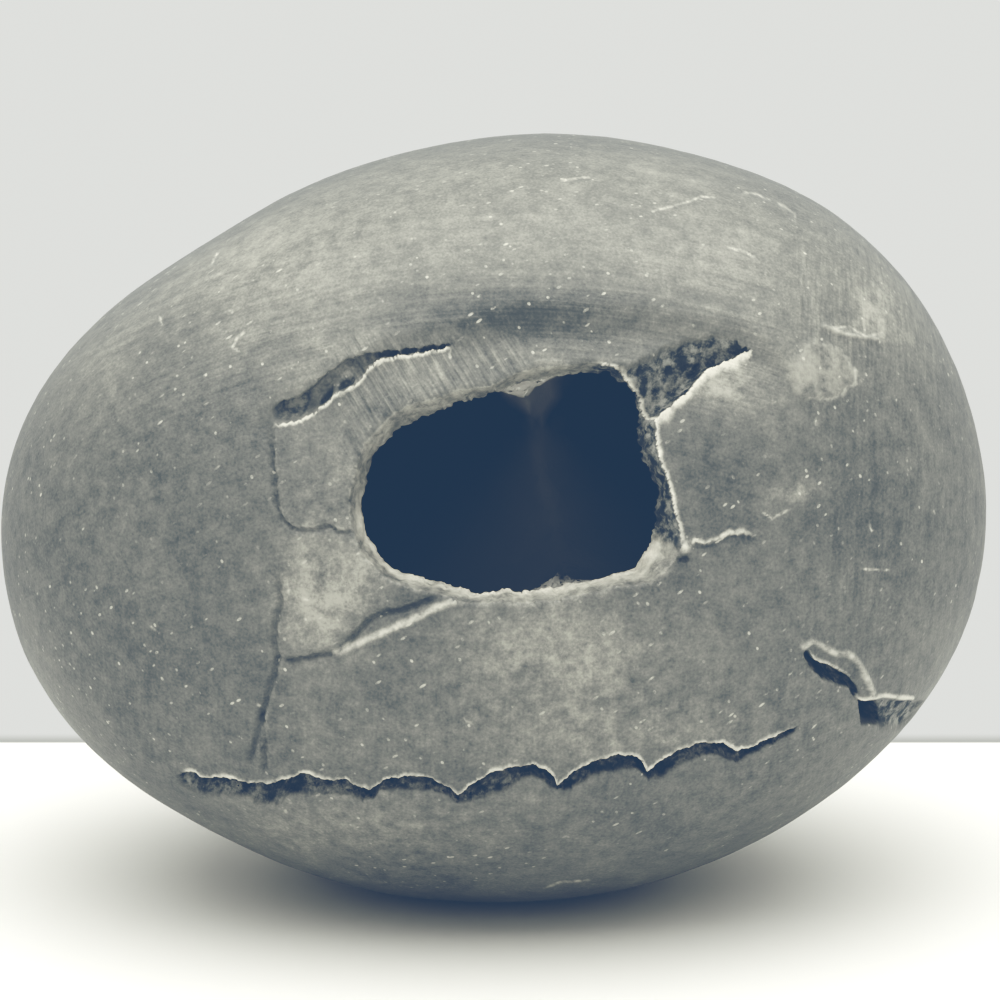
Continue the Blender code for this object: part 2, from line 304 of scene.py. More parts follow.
LEFT_GROOVE = ((-18.2, 8.0), (-18.2, 7.2), (-18.1, 5.3), (-17.8, 3.1), (-17.7, 1.6),
               (-17.2, 0.0), (-16.4, -0.7), (-14.9, -0.9), (-13.2, -0.5), (-12.6, -1.0),
               (-10.9, -1.1))
UPRIGHT_CREASE = ((-17.7, -4.1), (-17.3, -5.4), (-17.2, -7.0), (-17.7, -8.7), (-17.7, -10.0),
                  (-17.5, -11.0), (-17.7, -12.5), (-18.3, -14.3), (-18.9, -16.5),
                  (-19.3, -18.1), (-19.9, -20.4))
CREASE_FORK = ((-18.7, -15.8), (-18.5, -18.1), (-18.5, -20.4))
STEP_LINE = ((-17.4, -11.3), (-16.4, -11.5), (-14.6, -11.2), (-13.0, -10.9), (-11.8, -10.1),
             (-11.3, -9.5), (-10.6, -8.7), (-9.8, -8.0), (-8.6, -7.6), (-7.1, -7.3),
             (-5.8, -6.8), (-4.2, -6.2))
STEP_LIP = ((-12.8, -10.8), (-10.2, -9.7), (-7.1, -8.3), (-4.2, -7.0), (-2.6, -6.4))
KNOB_LEDGE = ((15.9, -2.0), (17.2, -2.2), (18.5, -1.8), (19.2, -1.4), (20.3, -1.3), (21.2, -1.7))
KNOB_SLIT = ((14.9, -3.3), (15.9, -3.2))
SIDE_RIDGE = ((26.9, 15.7), (28.6, 15.0), (31.2, 14.6))
SCRATCHES = (((12.6, 24.9), (14.5, 25.4), (16.0, 25.8), (16.8, 26.2), (18.1, 26.1)),
             ((20.3, 26.6), (21.5, 26.4), (22.6, 25.9)),
             ((23.1, 25.8), (24.5, 24.9), (24.6, 24.2)),
             ((18.8, 22.2), (20.2, 21.8), (21.4, 21.3)),
             ((-20.1, 15.3), (-20.8, 14.7), (-21.1, 14.0), (-20.5, 13.6)),
             ((-27.0, 16.5), (-26.8, 15.6)),
             ((-22.3, 21.6), (-22.9, 20.5)),
             ((29.7, -4.0), (32.2, -4.1)),
             ((4.1, -29.9), (5.4, -29.4), (7.9, -29.2)),
             ((5.4, 27.5), (7.9, 27.8)),
             ((-27.8, -8.6), (-27.0, -9.3)),
             ((26.0, -1.8), (26.2, -2.0)),
             ((28.3, -1.8), (28.5, -2.0)),
             ((25.2, 2.3), (25.9, 1.9)),
             ((21.7, 0.6), (22.7, 0.1), (24.2, 0.9)),
             ((26.2, 8.2), (26.3, 7.5)),
             ((30.5, -0.2), (30.8, -1.0)),
             ((-16.6, -5.1), (-16.6, -6.3)),
             ((-15.7, -6.4), (-14.9, -6.5)),
             ((-19.0, -14.9), (-19.0, -15.2)),
             ((-2.5, -16.0), (-1.6, -16.7)),
             ((-16.8, -23.5), (-16.8, -23.8)),
             ((-21.4, 17.0), (-21.0, 16.8)),
             ((-20.1, 19.3), (-19.3, 19.4)),
             ((-9.4, 18.1), (-8.9, 17.7)),
             ((-3.6, 14.3), (-3.6, 13.3)),
             ((27.4, 15.6), (29.0, 15.7), (30.2, 14.9), (31.6, 15.2)))
print("hand-placed points:", len(LONG_UPPER) + len(LONG_LOWER) + len(MOUTH_SKIN) + len(MOUTH_HOLE))

# %% [markdown]
# ## Cracks with an overhanging lip
#
# The cracks were opened by frost and by the river, not cut. Their upper lip hangs over the gap
# and has been rubbed round and pale, and is painted paler still as a highlight where it catches
# the light from above, while the lower side slopes out. The floor of the gap under the lip is
# painted with shade. Walking across the gap, the surface dives under the upper lip, runs along
# the floor and climbs out again. So each spot gets two numbers: how deep it sinks, and how far it
# slides up underneath the lip.

# %% The profile of an open crack
GAP_WALK = (0.0, 0.10, 0.22, 0.42, 0.62, 0.85, 1.0)
GAP_SINK = (0.0, 0.35, 0.85, 1.00, 0.80, 0.30, 0.0)
GAP_PLACE = (0.0, -0.02, -0.16, 0.12, 0.45, 0.80, 1.0)
LONG_DEPTH = 2.4
LOWER_DEPTH = 1.6
UPPER_DEPTH = 0.7
SMALLEST_GAP = 0.12
CRACK_ENDS = 1.2
LIP_WIDTH = 0.19
LIP_MIDDLE = 0.14
LOW_EDGE_WIDTH = 0.22


def open_crack(across, height, upper, lower, depth, rag, lip_rise, shade_line):
    """How a crack sinks and slides the skin, with its masks and the distance to it."""
    dark_share = line_height(shade_line, across) + ragged(across, 0.30, 5.0, 0.9)
    start, end = upper[0][0], upper[-1][0]
    top = line_height(upper, across) + ragged(across, rag, 1.7, 0.3)
    bottom = line_height(lower, across) + ragged(across, rag, 1.3, 1.9)
    ends = smooth_step((across - start) / CRACK_ENDS) * smooth_step((end - across) / CRACK_ENDS)
    width = np.maximum(top - bottom, SMALLEST_GAP)
    walk = (top - height) / width
    in_gap = (walk > 0.0) & (walk < 1.0) & (ends > 0.0)
    sink = np.where(in_gap, np.interp(walk, GAP_WALK, GAP_SINK), 0.0)
    deep_here = depth * ends * np.minimum(1.0, 0.35 + width / 1.4)
    place = np.interp(walk, GAP_WALK, GAP_PLACE)
    slide = np.where(in_gap, (walk - place) * width * ends, 0.0)
    above = height - top
    lip_width = LIP_WIDTH + 0.06 * np.sin(across * 1.7 + 0.6)
    lip = np.where(above > 0.0, bump_shape(above - LIP_MIDDLE, lip_width), 0.0) * ends
    lip_out = lip * lip_rise
    roll = np.where(above > 0.0, bump_shape(above, 0.12), 0.0) * ends * lip_rise
    below = bottom - height
    low_edge = np.where(below > 0.0, bump_shape(below - 0.1, LOW_EDGE_WIDTH), 0.0) * ends
    past = np.maximum(0.0, np.maximum(start - across, across - end))
    distance = np.hypot(np.maximum(0.0, np.maximum(above, below)) * 0.8, past)
    return {
        "sink": sink * deep_here - lip_out + roll,
        "slide": slide,
        "gap": sink * ends,
        # The dark share is painted shade on the floor of the gap; lip and low_edge mark where the
        # edges are painted pale, as wear and as highlights.
        "dark": sink * ends * smooth_step((dark_share - walk) / 0.25),
        "lip": lip,
        "low_edge": low_edge,
        "distance": distance,
    }


probe = open_crack(np.array([0.0]), np.array([-21.3]), LONG_UPPER, LONG_LOWER, LONG_DEPTH,
                   0.0, 0.12, LONG_SHADE)
print("in the long crack's middle the skin sinks", round(float(probe["sink"][0]), 2), "mm")

# %% [markdown]
# ## Creases, steps and swellings
#
# The rest of the front is low relief. A crease is a narrow valley along a line, with one bank
# a little higher than the other. The shoulder is a wide soft step above the mouth. The notch is
# a broken slope, with a steep bank on its lower side, where a plate of skin still stands.

# %% Low relief
SHOULDER_DROP = 0.9
SHOULDER_SOFTNESS = 2.6
SHOULDER_FADE = 15.0
SHOULDER_ENDS = 6.0
NOTCH_WALK = (0.0, 0.06, 0.22, 0.6, 0.86, 1.0)
NOTCH_SHAPE = (0.0, 0.75, 1.0, 0.62, 0.3, 0.0)
NOTCH_PLACES = (12.0, 16.0, 19.0)
NOTCH_DEPTHS = (3.4, 3.1, 2.0, 1.1, 0.0)
PLATE_START = 12.6
PIT_DEPTH = 2.1
PIT_HALF_SIZES = (0.86, 0.92)
PIT_SLANT = 0.12
GROUND_ACROSS = (31.0, 35.2)
GROUND_UP = (-17.4, -14.6)
GROUND_DEPTH = 0.55
GROUND_MIDDLE = (32.2, -15.8)
GROUND_HALF_SIZES = (2.6, 1.4)


def shoulder_sink(across, height):
    """How far the skin lies inside the plain ovoid, below the shoulder line."""
    below = line_height(SHOULDER_LINE, across) - height
    step = smooth_step(below / SHOULDER_SOFTNESS + 0.5)
    fade = 1.0 - smooth_step(below / SHOULDER_FADE)
    start, end = SHOULDER_LINE[0][0], SHOULDER_LINE[-1][0]
    ends = (smooth_step((across - start) / SHOULDER_ENDS)
            * smooth_step((end - across) / SHOULDER_ENDS))
    return SHOULDER_DROP * step * fade * ends


def crease(across, height, line, width, depth, bank):
    """A valley along a line: its sink, its pale bank and the distance to it."""
    wobble = ragged(across + height, 0.11, 1.6, 0.5)
    distance, side, along = near_line(across + wobble, height + wobble, line)
    ends = smooth_step(along / 0.08) * smooth_step((1.0 - along) / 0.08)
    valley = bump_shape(distance, width) * depth * (0.35 + 0.65 * ends)
    high_bank = bump_shape(side - 1.5 * width, 1.1 * width) * (distance < 4.0 * width)
    return valley - bank * high_bank * ends, np.clip(high_bank * ends, 0.0, 1.0), distance


def notch_sink(across, height):
    """The broken slope beside the mouth: its sink, a mask, its steep bank and the distance."""
    top = line_height(NOTCH_UPPER, across) + ragged(across, 0.22, 1.9, 0.7)
    bottom = line_height(NOTCH_LOWER, across) + ragged(across, 0.10, 1.3, 2.2)
    start, end = NOTCH_UPPER[0][0], NOTCH_UPPER[-1][0]
    deepest = np.interp(across, (start, *NOTCH_PLACES, end), NOTCH_DEPTHS)
    width = np.maximum(top - bottom, 0.15)
    walk = (height - bottom) / width
    shape = np.interp(walk, NOTCH_WALK, NOTCH_SHAPE)
    inside = (walk > 0.0) & (walk < 1.0) & (across > start) & (across < end)
    sink = np.where(inside, shape * deepest, 0.0)
    below = bottom - height
    on_plate = (across > PLATE_START) & (across < end) & (below > 0.0)
    bank_width = 0.72 + 0.22 * np.sin(across * 2.3) + ragged(across, 0.16, 1.4, 0.2)
    bank = np.where(on_plate, bump_shape(below - 0.20, bank_width), 0.0)
    past = np.maximum(0.0, np.maximum(start - across, across - end))
    outside = np.maximum(0.0, np.maximum(below, height - top))
    return sink, np.where(inside, smooth_step(shape * 3.0), 0.0), bank, np.hypot(outside, past)


def pit_sink(across, height):
    """The square pit and the broken ground beside it."""
    middle_x = sum(spot[0] for spot in PIT_CORNERS) / len(PIT_CORNERS)
    middle_z = sum(spot[1] for spot in PIT_CORNERS) / len(PIT_CORNERS)
    slanted = across - middle_x + PIT_SLANT * (height - middle_z)
    edge = np.maximum(np.abs(slanted) / PIT_HALF_SIZES[0],
                      np.abs(height - middle_z) / PIT_HALF_SIZES[1])
    hole = smooth_step((1.12 - edge) / 0.28)
    ground = (smooth_step((across - GROUND_ACROSS[0]) / 0.6)
              * smooth_step((GROUND_ACROSS[1] - across) / 0.8)
              * smooth_step((GROUND_UP[1] - height) / 0.25)
              * smooth_step((height - GROUND_UP[0]) / 1.0))
    past_x = np.maximum(0.0, np.abs(across - GROUND_MIDDLE[0]) - GROUND_HALF_SIZES[0])
    past_z = np.maximum(0.0, np.abs(height - GROUND_MIDDLE[1]) - GROUND_HALF_SIZES[1])
    distance = np.hypot(past_x, past_z)
    sink = PIT_DEPTH * hole + GROUND_DEPTH * ground
    return sink, np.maximum(hole, 0.8 * ground), hole, distance


probe = shoulder_sink(np.array([0.0]), np.array([12.0]))
print("the shoulder sinks the face by", round(float(probe[0]), 2), "mm")

# %% [markdown]
# ## Paler and darker places
#
# Soft round spots, added together with one number a place, make the skin paler or darker with
# no edge between them. Some are simply paler or darker places; others are painted light and
# shade: the band under the shoulder and the far left are painted darker where the face turns
# away from the light, and the face below, beside and just above the mouth and low down is
# painted lighter where it turns up to the light or takes light from the floor. One patch at the
# right is different: it is a thin grainy crust with an edge that can be felt.

# %% Paler and darker places
TONE_LIGHT_AND_SHADE_PLACES = (
    # Painted light on the face below and left of the mouth, where it turns up to the light:
    (5.0, -10.8, 9.0, 3.8, 0.46),
    (-14.4, -6.6, 3.4, 4.2, 0.60),
    (-10.6, -4.6, 2.4, 2.6, 0.40),
    (-15.5, 0.0, 3.0, 7.0, 0.10),
    # Painted light just above the mouth, where the face turns up again:
    (5.5, 13.2, 4.0, 1.4, 0.15),
    # Painted shade in the band under the shoulder, then on the far left where the side turns away:
    (1.0, 17.0, 13.0, 2.4, -0.50),
    (-27.0, -4.0, 7.5, 12.0, -0.10),
    # Paler and darker spots:
    (18.4, 11.2, 2.8, 1.8, 0.50),
    (18.0, 3.0, 5.0, 5.0, -0.16),
    (-17.0, 19.0, 8.0, 5.0, 0.16),
    (30.0, -2.0, 7.0, 10.0, -0.10),
    (30.8, 16.6, 1.8, 2.6, 0.35),
    (24.6, 2.3, 2.0, 1.1, 0.50),
    # Painted light low on the face, standing in for light from the floor:
    (-7.0, -26.0, 6.0, 2.0, 0.15),
    (6.0, -17.0, 17.0, 2.6, 0.24),
    (-12.0, -24.0, 8.0, 2.4, 0.22),
    (-12.0, 2.6, 2.0, 3.0, 0.16),
)


def skin_tone_light_and_shade(across, height):
    """How much paler or darker the skin is, from soft round places of tone and painted light and
    shade.
    """
    total = np.zeros(len(across))
    for middle_x, middle_z, reach_x, reach_z, amount in TONE_LIGHT_AND_SHADE_PLACES:
        away = np.hypot((across - middle_x) / reach_x, (height - middle_z) / reach_z)
        total = total + amount * bump_shape(away, 1.0)
    return total


BLOB_MIDDLE = (26.6, 12.0)
BLOB_REACH = (2.7, 2.4)


def pale_blob(across, height):
    """A pale grainy patch: its mask, and its raised edge below and to the right."""
    away_x = (across - BLOB_MIDDLE[0]) / BLOB_REACH[0]
    away_z = (height - BLOB_MIDDLE[1]) / BLOB_REACH[1]
    angle = np.arctan2(away_z, away_x)
    away = np.hypot(away_x, away_z) * (1.0 + ring_wave(angle, 0.13, 3, 0.8))
    edge_side = smooth_step(0.5 + 0.8 * np.cos(angle + 0.6))
    return smooth_step((1.0 - away) / 0.12), bump_shape(away - 0.98, 0.09) * edge_side


# %% [markdown]
# ## Adding the features up
#
# Every feature of the front does a few of the same things: it sinks the skin, slides it, paints
# shade into it, or marks it as broken, worn or deep. Worn is rubbed pale and also a painted
# highlight on edges that catch the light, and deep marks painted near-black shade. Depths and
# shade add up, but a mask only keeps its strongest value, because a place can't be more broken
# than broken. What is left over is how near the closest feature is, which tells the mesh where it
# has to be fine.

# %% The sum of all features
class Front:
    """Spots of the front, and what the features together do to them."""

    def __init__(self, across, height):
        self.across = across
        self.height = height
        blank = np.zeros(len(across))
        self.sums = {"sink": shoulder_sink(across, height), "slide": blank, "shade": blank}
        self.masks = {"broken": blank, "worn": blank, "deep": blank, "blob": blank}
        self.near = np.full(len(across), FAR)

    def add(self, near=FAR, **changes):
        """Adds a feature: depths are summed, masks keep the strongest, near the least."""
        for name, values in changes.items():
            if name in self.sums:
                self.sums[name] = self.sums[name] + values
            else:
                self.masks[name] = np.maximum(self.masks[name], values)
        self.near = np.minimum(self.near, near)


print("features add to", list(Front(np.zeros(1), np.zeros(1)).masks))

# %% [markdown]
# ## Cracks and broken ground
#
# Each crack has its two edges, a depth, the raggedness of its edges, how far its lip stands up
# and how far its floor is painted with shade, and then how pale its lip and its lower edge are,
# rubbed and painted as highlights, and how raw the stone in it is. The long one is the deepest,
# and the upper one is wide but shallow.

# %% Cracks and broken ground
CRACKS = ((LONG_UPPER, LONG_LOWER, LONG_DEPTH, 0.10, 0.16, LONG_SHADE, (1.1, 0.12, 1.0)),
          (LOWER_UPPER, LOWER_LOWER, LOWER_DEPTH, 0.08, 0.10, LONG_SHADE, (0.8, 0.3, 1.0)),
          (UPPER_UPPER, UPPER_LOWER, UPPER_DEPTH, 0.12, 0.0, UPPER_SHADE, (0.0, 1.1, 0.34)))
POCKET_DEPTH = 0.5
BANK_RISE = 0.14


def add_cracks(front):
    """The three open cracks."""
    wear_and_highlight_strength = 0.80 + ragged(front.across, 0.36, 7.0, 0.4)
    for upper, lower, depth, rag, rise, shade_line, (lip_pale, edge_pale, rawness) in CRACKS:
        crack = open_crack(front.across, front.height, upper, lower, depth, rag, rise, shade_line)
        # The floor is painted with shade, and the lip and lower edge are painted pale, as wear and
        # as highlights where they catch the light.
        front.add(near=crack["distance"], sink=crack["sink"], slide=crack["slide"],
                  broken=rawness * smooth_step(crack["gap"] * 4.0),
                  deep=smooth_step(crack["dark"] * 1.6 - 0.2),
                  worn=np.maximum(lip_pale * wear_and_highlight_strength * crack["lip"],
                                  edge_pale * crack["low_edge"]))


def add_pockets(front):
    """Two small pockets in the upper crack, sunk and painted with shade."""
    above = front.height - line_height(UPPER_LOWER, front.across)
    for start, end in UPPER_POCKETS:
        ends = smooth_step((front.across - start) / 0.3) * smooth_step((end - front.across) / 0.3)
        pocket = ends * bump_shape(above - 0.40, 0.24)
        front.add(sink=POCKET_DEPTH * pocket, deep=smooth_step(pocket * 1.4))


def add_broken_ground(front):
    """The notch beside the mouth, and the square pit with the ground around it."""
    slope, raw, bank, distance = notch_sink(front.across, front.height)
    front.add(near=distance, sink=slope - BANK_RISE * bank, broken=raw, worn=bank)
    sink, raw, hole, distance = pit_sink(front.across, front.height)
    # The pit is painted with shade.
    front.add(near=distance, sink=sink, broken=raw, deep=hole)


print("open cracks:", len(CRACKS))

# %% [markdown]
# ## Creases, ridges, scratches and lumps
#
# A crease is given by its line, width, depth, the height of its bank and how pale that is; a
# ridge by its line, width, height and paleness. A crease's valley is also painted with shade, and
# the paleness of banks and ridges is wear and a painted highlight. Scratches are the same thing at
# their very smallest: a groove of a few hundredths of a millimetre that shows by its pale dust
# alone.

# %% Creases, ridges, scratches and lumps
CREASES = ((LEFT_GROOVE, 0.20, 0.26, 0.07, 0.35), (UPRIGHT_CREASE, 0.28, 0.28, 0.14, 0.30),
           (CREASE_FORK, 0.22, 0.24, 0.10, 0.30), (STEP_LINE, 0.26, 0.40, -0.10, 0.3),
           (KNOB_LEDGE, 0.22, 0.20, 0.12, 1.1), (KNOB_SLIT, 0.20, 0.36, 0.0, 0.0))
RIDGES = ((LOWER_RIDGE, 0.34, 0.32, 0.65), (PIT_LEDGE, 0.20, 0.18, 0.9),
          (STEP_LIP, 0.40, 0.14, 0.74), (SIDE_RIDGE, 0.25, 0.16, 0.5))
SCRATCH_WIDTH = 0.15
SCRATCH_DEPTH = 0.04
KNOB_MIDDLE = (15.5, -2.2)
KNOB_WIDTH = 0.60
KNOB_HEIGHT = 0.45
BLOB_HEIGHT = 0.16
BLOB_FINENESS = 0.6


def add_lines(front):
    """Creases and ridges: narrow valleys and swellings along lines, painted with shade and
    highlights.
    """
    wear_and_highlight_strength = 0.80 + ragged(front.across, 0.34, 2.9, 1.4)
    for line, width, depth, bank_rise, paleness in CREASES:
        valley, pale, distance = crease(front.across, front.height, line, width, depth, bank_rise)
        # The valley is painted with shade, and the high bank is painted pale, as wear and as a
        # highlight.
        front.add(near=distance, sink=valley, shade=1.1 * np.maximum(valley, 0.0),
                  worn=paleness * pale * wear_and_highlight_strength)
    for line, width, rise, paleness in RIDGES:
        distance, _, _ = near_line(front.across, front.height, line)
        swell = bump_shape(distance, width)
        # The ridge is painted pale, as wear and as a highlight along its top.
        front.add(near=distance, sink=-rise * swell, worn=paleness * swell)


def add_scratches(front):
    """Short pale marks, each with a very shallow groove."""
    strength = 0.75 + ragged(front.across + front.height, 0.35, 0.9, 0.1)
    for line in SCRATCHES:
        distance, _, along = near_line(front.across, front.height, line)
        ends = smooth_step(4.0 * along * (1.0 - along) + 0.5)
        mark = bump_shape(distance, SCRATCH_WIDTH) * ends * strength
        front.add(near=np.maximum(0.0, distance - SCRATCH_WIDTH), sink=SCRATCH_DEPTH * mark,
                  worn=0.72 * mark)


def add_lumps(front):
    """The round knob at the mouth's corner and the pale grainy patch."""
    distance = np.hypot(front.across - KNOB_MIDDLE[0], front.height - KNOB_MIDDLE[1])
    knob = bump_shape(distance, KNOB_WIDTH)
    # The knob is painted pale, as wear and as a highlight on its top.
    front.add(near=np.maximum(0.0, distance - 1.0), sink=-KNOB_HEIGHT * knob, worn=knob)
    blob, blob_edge = pale_blob(front.across, front.height)
    front.add(near=np.where(blob_edge > 0.02, BLOB_FINENESS, FAR), sink=-BLOB_HEIGHT * blob,
              worn=0.55 * blob_edge, blob=blob)


def relief(across, height):
    """Everything that shapes the skin outside the mouth."""
    front = Front(across, height)
    for add_feature in (add_cracks, add_pockets, add_broken_ground, add_lines, add_scratches,
                        add_lumps):
        add_feature(front)
    # The tone is the soft spots, with their painted light and shade, less the painted shade in the
    # creases.
    return {"sink": front.sums["sink"], "slide": front.sums["slide"], "near": front.near,
            "tone": skin_tone_light_and_shade(across, height) - front.sums["shade"], **front.masks}


probe = relief(np.array([16.0, 30.6]), np.array([13.0, -15.7]))
print("sink in the notch and in the pit:", np.round(probe["sink"], 2))

# %% [markdown]
# ## The mouth and the hollow
#
# Inside the mouth's edge the same skin turns inwards. Seen from the mouth's middle, every spot
# has an angle and a share of the way out to the edge. The outer fifth of that way becomes the
# broken wall, from the edge on the skin to the narrower edge of the hole. The rest is wrapped
# over the inside of the hollow, right back to its rear wall. The hollow is two joined lobes,
# and where they meet a ridge is left standing.

# %% The hollow's rule
HOLLOW_LOBES = (((-4.0, -7.0, 3.5), (11.5, 16.0, 12.0)), ((9.0, -7.0, 6.5), (9.0, 15.0, 10.5)))
HOLLOW_HEART = np.array([3.3, -7.0, 5.0])
MOUTH_WALL = 3.4
WALL_SHARE = 0.8
TABLE_SIZE = 2880
EDGE_RAG = 0.16
HOLE_RAG = 0.22
THINNEST_WALL = 0.25


def lobe_reach(directions, centre, half_sizes):
    """How far a lobe's wall is from the hollow's heart along each direction."""
    offset = (HOLLOW_HEART - np.array(centre)) / np.array(half_sizes)
    scaled = directions / np.array(half_sizes)
    a = (scaled ** 2).sum(axis=1)
    b = (scaled * offset).sum(axis=1)
    c = float((offset ** 2).sum()) - 1.0
    return (-b + np.sqrt(np.maximum(b * b - a * c, 0.0))) / a


def polar_edge(outline, angle, rag, shift):
    """Distance from the mouth's middle to an outline, at each angle."""
    spots = np.array(outline) - np.array(MOUTH_MIDDLE)
    angles = np.arctan2(spots[:, 1], spots[:, 0])
    order = np.argsort(angles)
    reach = np.interp(angle, angles[order], np.hypot(spots[:, 0], spots[:, 1])[order],
                      period=2.0 * math.pi)
    wave = ring_wave(angle, rag, 17, shift)
    return reach + wave * np.abs(np.sin(angle * 1.5 + shift)) ** 0.5


def mouth_spot(angle, reach):
    """Places on the picture plane, from angle and distance."""
    return MOUTH_MIDDLE[0] + reach * np.cos(angle), MOUTH_MIDDLE[1] + reach * np.sin(angle)


def sunk_skin(across, height):
    """Skin points with their relief, for places on the picture plane."""
    points, _ = on_skin(across, height)
    shape = relief(across, height)
    return points - skin_normals(points) * shape["sink"][:, None]


table_angle = np.linspace(-math.pi, math.pi, TABLE_SIZE)
edge_reach = polar_edge(MOUTH_SKIN, table_angle, EDGE_RAG, 0.4)
hole_reach = polar_edge(MOUTH_HOLE, table_angle, HOLE_RAG, 1.1)
hole_reach = np.minimum(hole_reach, edge_reach - THINNEST_WALL)
edge_points = sunk_skin(*mouth_spot(table_angle, edge_reach))
hole_points, hole_rays = on_skin(*mouth_spot(table_angle, hole_reach))
wall_depth = MOUTH_WALL + ring_wave(table_angle, 0.5, 12, 2.0)
hole_points = hole_points + hole_rays * wall_depth[:, None]
for table in (edge_reach, hole_reach, edge_points, hole_points):
    table[-1] = table[0]

hollow_axis = hole_points.mean(axis=0) - HOLLOW_HEART
hollow_axis = hollow_axis / np.linalg.norm(hollow_axis)
hollow_right = RIGHT - hollow_axis * float(RIGHT @ hollow_axis)
hollow_right = hollow_right / np.linalg.norm(hollow_right)
hollow_up = np.cross(hollow_right, hollow_axis)
if float(hollow_up @ UP) < 0.0:
    hollow_up = -hollow_up

hole_away = hole_points - HOLLOW_HEART
hole_distance = np.linalg.norm(hole_away, axis=1)
hole_tilt = np.arccos(np.clip((hole_away @ hollow_axis) / hole_distance, -1.0, 1.0))
hole_turn = np.unwrap(np.arctan2(hole_away @ hollow_up, hole_away @ hollow_right))
print("the hole is", round(float(np.ptp(hole_points[:, 0])), 1), "mm wide and",
      round(float(np.ptp(hole_points @ UP)), 1), "mm high")

# %% Inside the mouth
def from_table(angle, table):
    """Reads a table made over the angles round the mouth."""
    if table.ndim == 1:
        return np.interp(angle, table_angle, table)
    return np.stack([np.interp(angle, table_angle, column) for column in table.T], axis=1)


def inside_mouth(angle, share):
    """Points of the mouth's wall and of the hollow, for angle and share of the way out."""
    edge = from_table(angle, edge_points)
    hole = from_table(angle, hole_points)
    inward = np.clip((1.0 - share) / (1.0 - WALL_SHARE), 0.0, 1.0)
    wall = edge + (hole - edge) * inward[:, None]
    belly = np.sin(math.pi * inward) * 0.35
    wall = wall + TOWARD * belly[:, None] * 0.6

    further = np.clip(1.0 - share / WALL_SHARE, 0.0, 1.0)
    start_tilt = from_table(angle, hole_tilt)
    tilt = start_tilt + (math.pi - start_tilt) * further
    turn = from_table(angle, hole_turn)
    flat = np.cos(turn)[:, None] * hollow_right + np.sin(turn)[:, None] * hollow_up
    direction = np.cos(tilt)[:, None] * hollow_axis + np.sin(tilt)[:, None] * flat
    reach = np.maximum(*[lobe_reach(direction, *lobe) for lobe in HOLLOW_LOBES])
    mix = smooth_step((tilt - start_tilt) / 0.30)
    reach = from_table(angle, hole_distance) * (1.0 - mix) + reach * mix
    hollow = HOLLOW_HEART + direction * reach[:, None]
    return np.where((share >= WALL_SHARE)[:, None], wall, hollow)


back_wall = inside_mouth(np.array([0.3]), np.array([0.0]))
print("the hollow's rear wall is at", np.round(back_wall[0], 1))

# %% [markdown]
# ## One skin for the whole stone
#
# A direction from the stone's middle is all that a point needs: it lands on the ovoid, and if
# that spot faces the eye it also gets the relief or turns in through the mouth. Because every
# point comes from the same rule, the mesh can be made finer anywhere without leaving a seam.

# %% The ridge in the hollow
RIDGE_TOP = (4.05, 7.6)


def ridge_light_mask(across, height):
    """Painted light inside the hollow, where the lobes meet: a wedge above and a fan of it below.
    """
    below = RIDGE_TOP[1] - height
    above = np.maximum(-below, 0.0)
    fan = bump_shape((across - RIDGE_TOP[0]) / (0.6 + 0.62 * np.maximum(below, 0.0)), 1.0)
    middle = RIDGE_TOP[0] - 0.40 * above
    wedge = smooth_step((0.85 * above - np.abs(across - middle)) / 0.5 + 0.5)
    return np.where(below > 0.0, 0.55 * fan, wedge)


print("the ridge's top is at", RIDGE_TOP)

# %% The skin's shape and the finish masks
SHAPED = ("sink", "slide", "broken", "worn", "deep", "blob", "tone")
HORIZON_FADE = 0.14


def skin_shape(plain, normals, across, height):
    """The relief and masks of each spot of the skin, and which spots face the eye."""
    to_eye = EYE_DISTANCE * TOWARD - plain
    to_eye = to_eye / np.linalg.norm(to_eye, axis=1, keepdims=True)
    turned_to_eye = (normals * to_eye).sum(axis=1)
    facing = turned_to_eye > 0.0
    fade = smooth_step(turned_to_eye / HORIZON_FADE)
    shape = {name: np.zeros(len(plain)) for name in SHAPED}
    shape["near"] = np.full(len(plain), FAR)
    for name, values in relief(across[facing], height[facing]).items():
        shape[name][facing] = values
        if name != "near":
            shape[name] = shape[name] * fade
    return shape, facing


def finish_masks(shape, inner, share, rim, aside, upward):
    """Sets the masks of the mouth's rim, its wall and the hollow, for the finish to read."""
    raw_side = smooth_step((aside - 0.45) / 0.3) * smooth_step((upward + 0.42) / 0.17)
    low_lip = smooth_step((0.15 - upward) / 0.6)
    near_hole = smooth_step((1.0 - share) / (1.0 - WALL_SHARE))
    # The wall is painted pale all round, as wear and as painted light on its upper part where it
    # faces down out of the light, and paler near the hole at the lower lip, a painted highlight
    # where it faces up.
    wall_rim = (1.0 - raw_side) * (0.42 + 0.75 * low_lip * near_hole ** 2)
    # Just outside, the skin's rim is painted pale the same way, most at the lower lip.
    skin_rim = rim * np.maximum(0.10 + 0.20 * low_lip, raw_side)
    raw_wall = smooth_step((1.0 - share) / 0.03) * (0.30 + 0.70 * raw_side)
    # Behind the wall the hollow is painted with near-black shade.
    behind = smooth_step((WALL_SHARE + 0.04 - share) / 0.12)
    shape["gap"] = np.where(inner, 0.0, shape["deep"])
    shape["deep"] = np.where(inner, behind, shape["deep"])
    shape["rim"] = np.where(inner, wall_rim, skin_rim)
    shape["broken"] = np.where(inner, raw_wall, shape["broken"])
    shape["worn"] = np.where(inner, 0.0, shape["worn"])
    shape["wall"] = np.where(inner & (share > WALL_SHARE - 0.03), 1.0, 0.0)


print("the skin is shaped by", ", ".join(SHAPED))

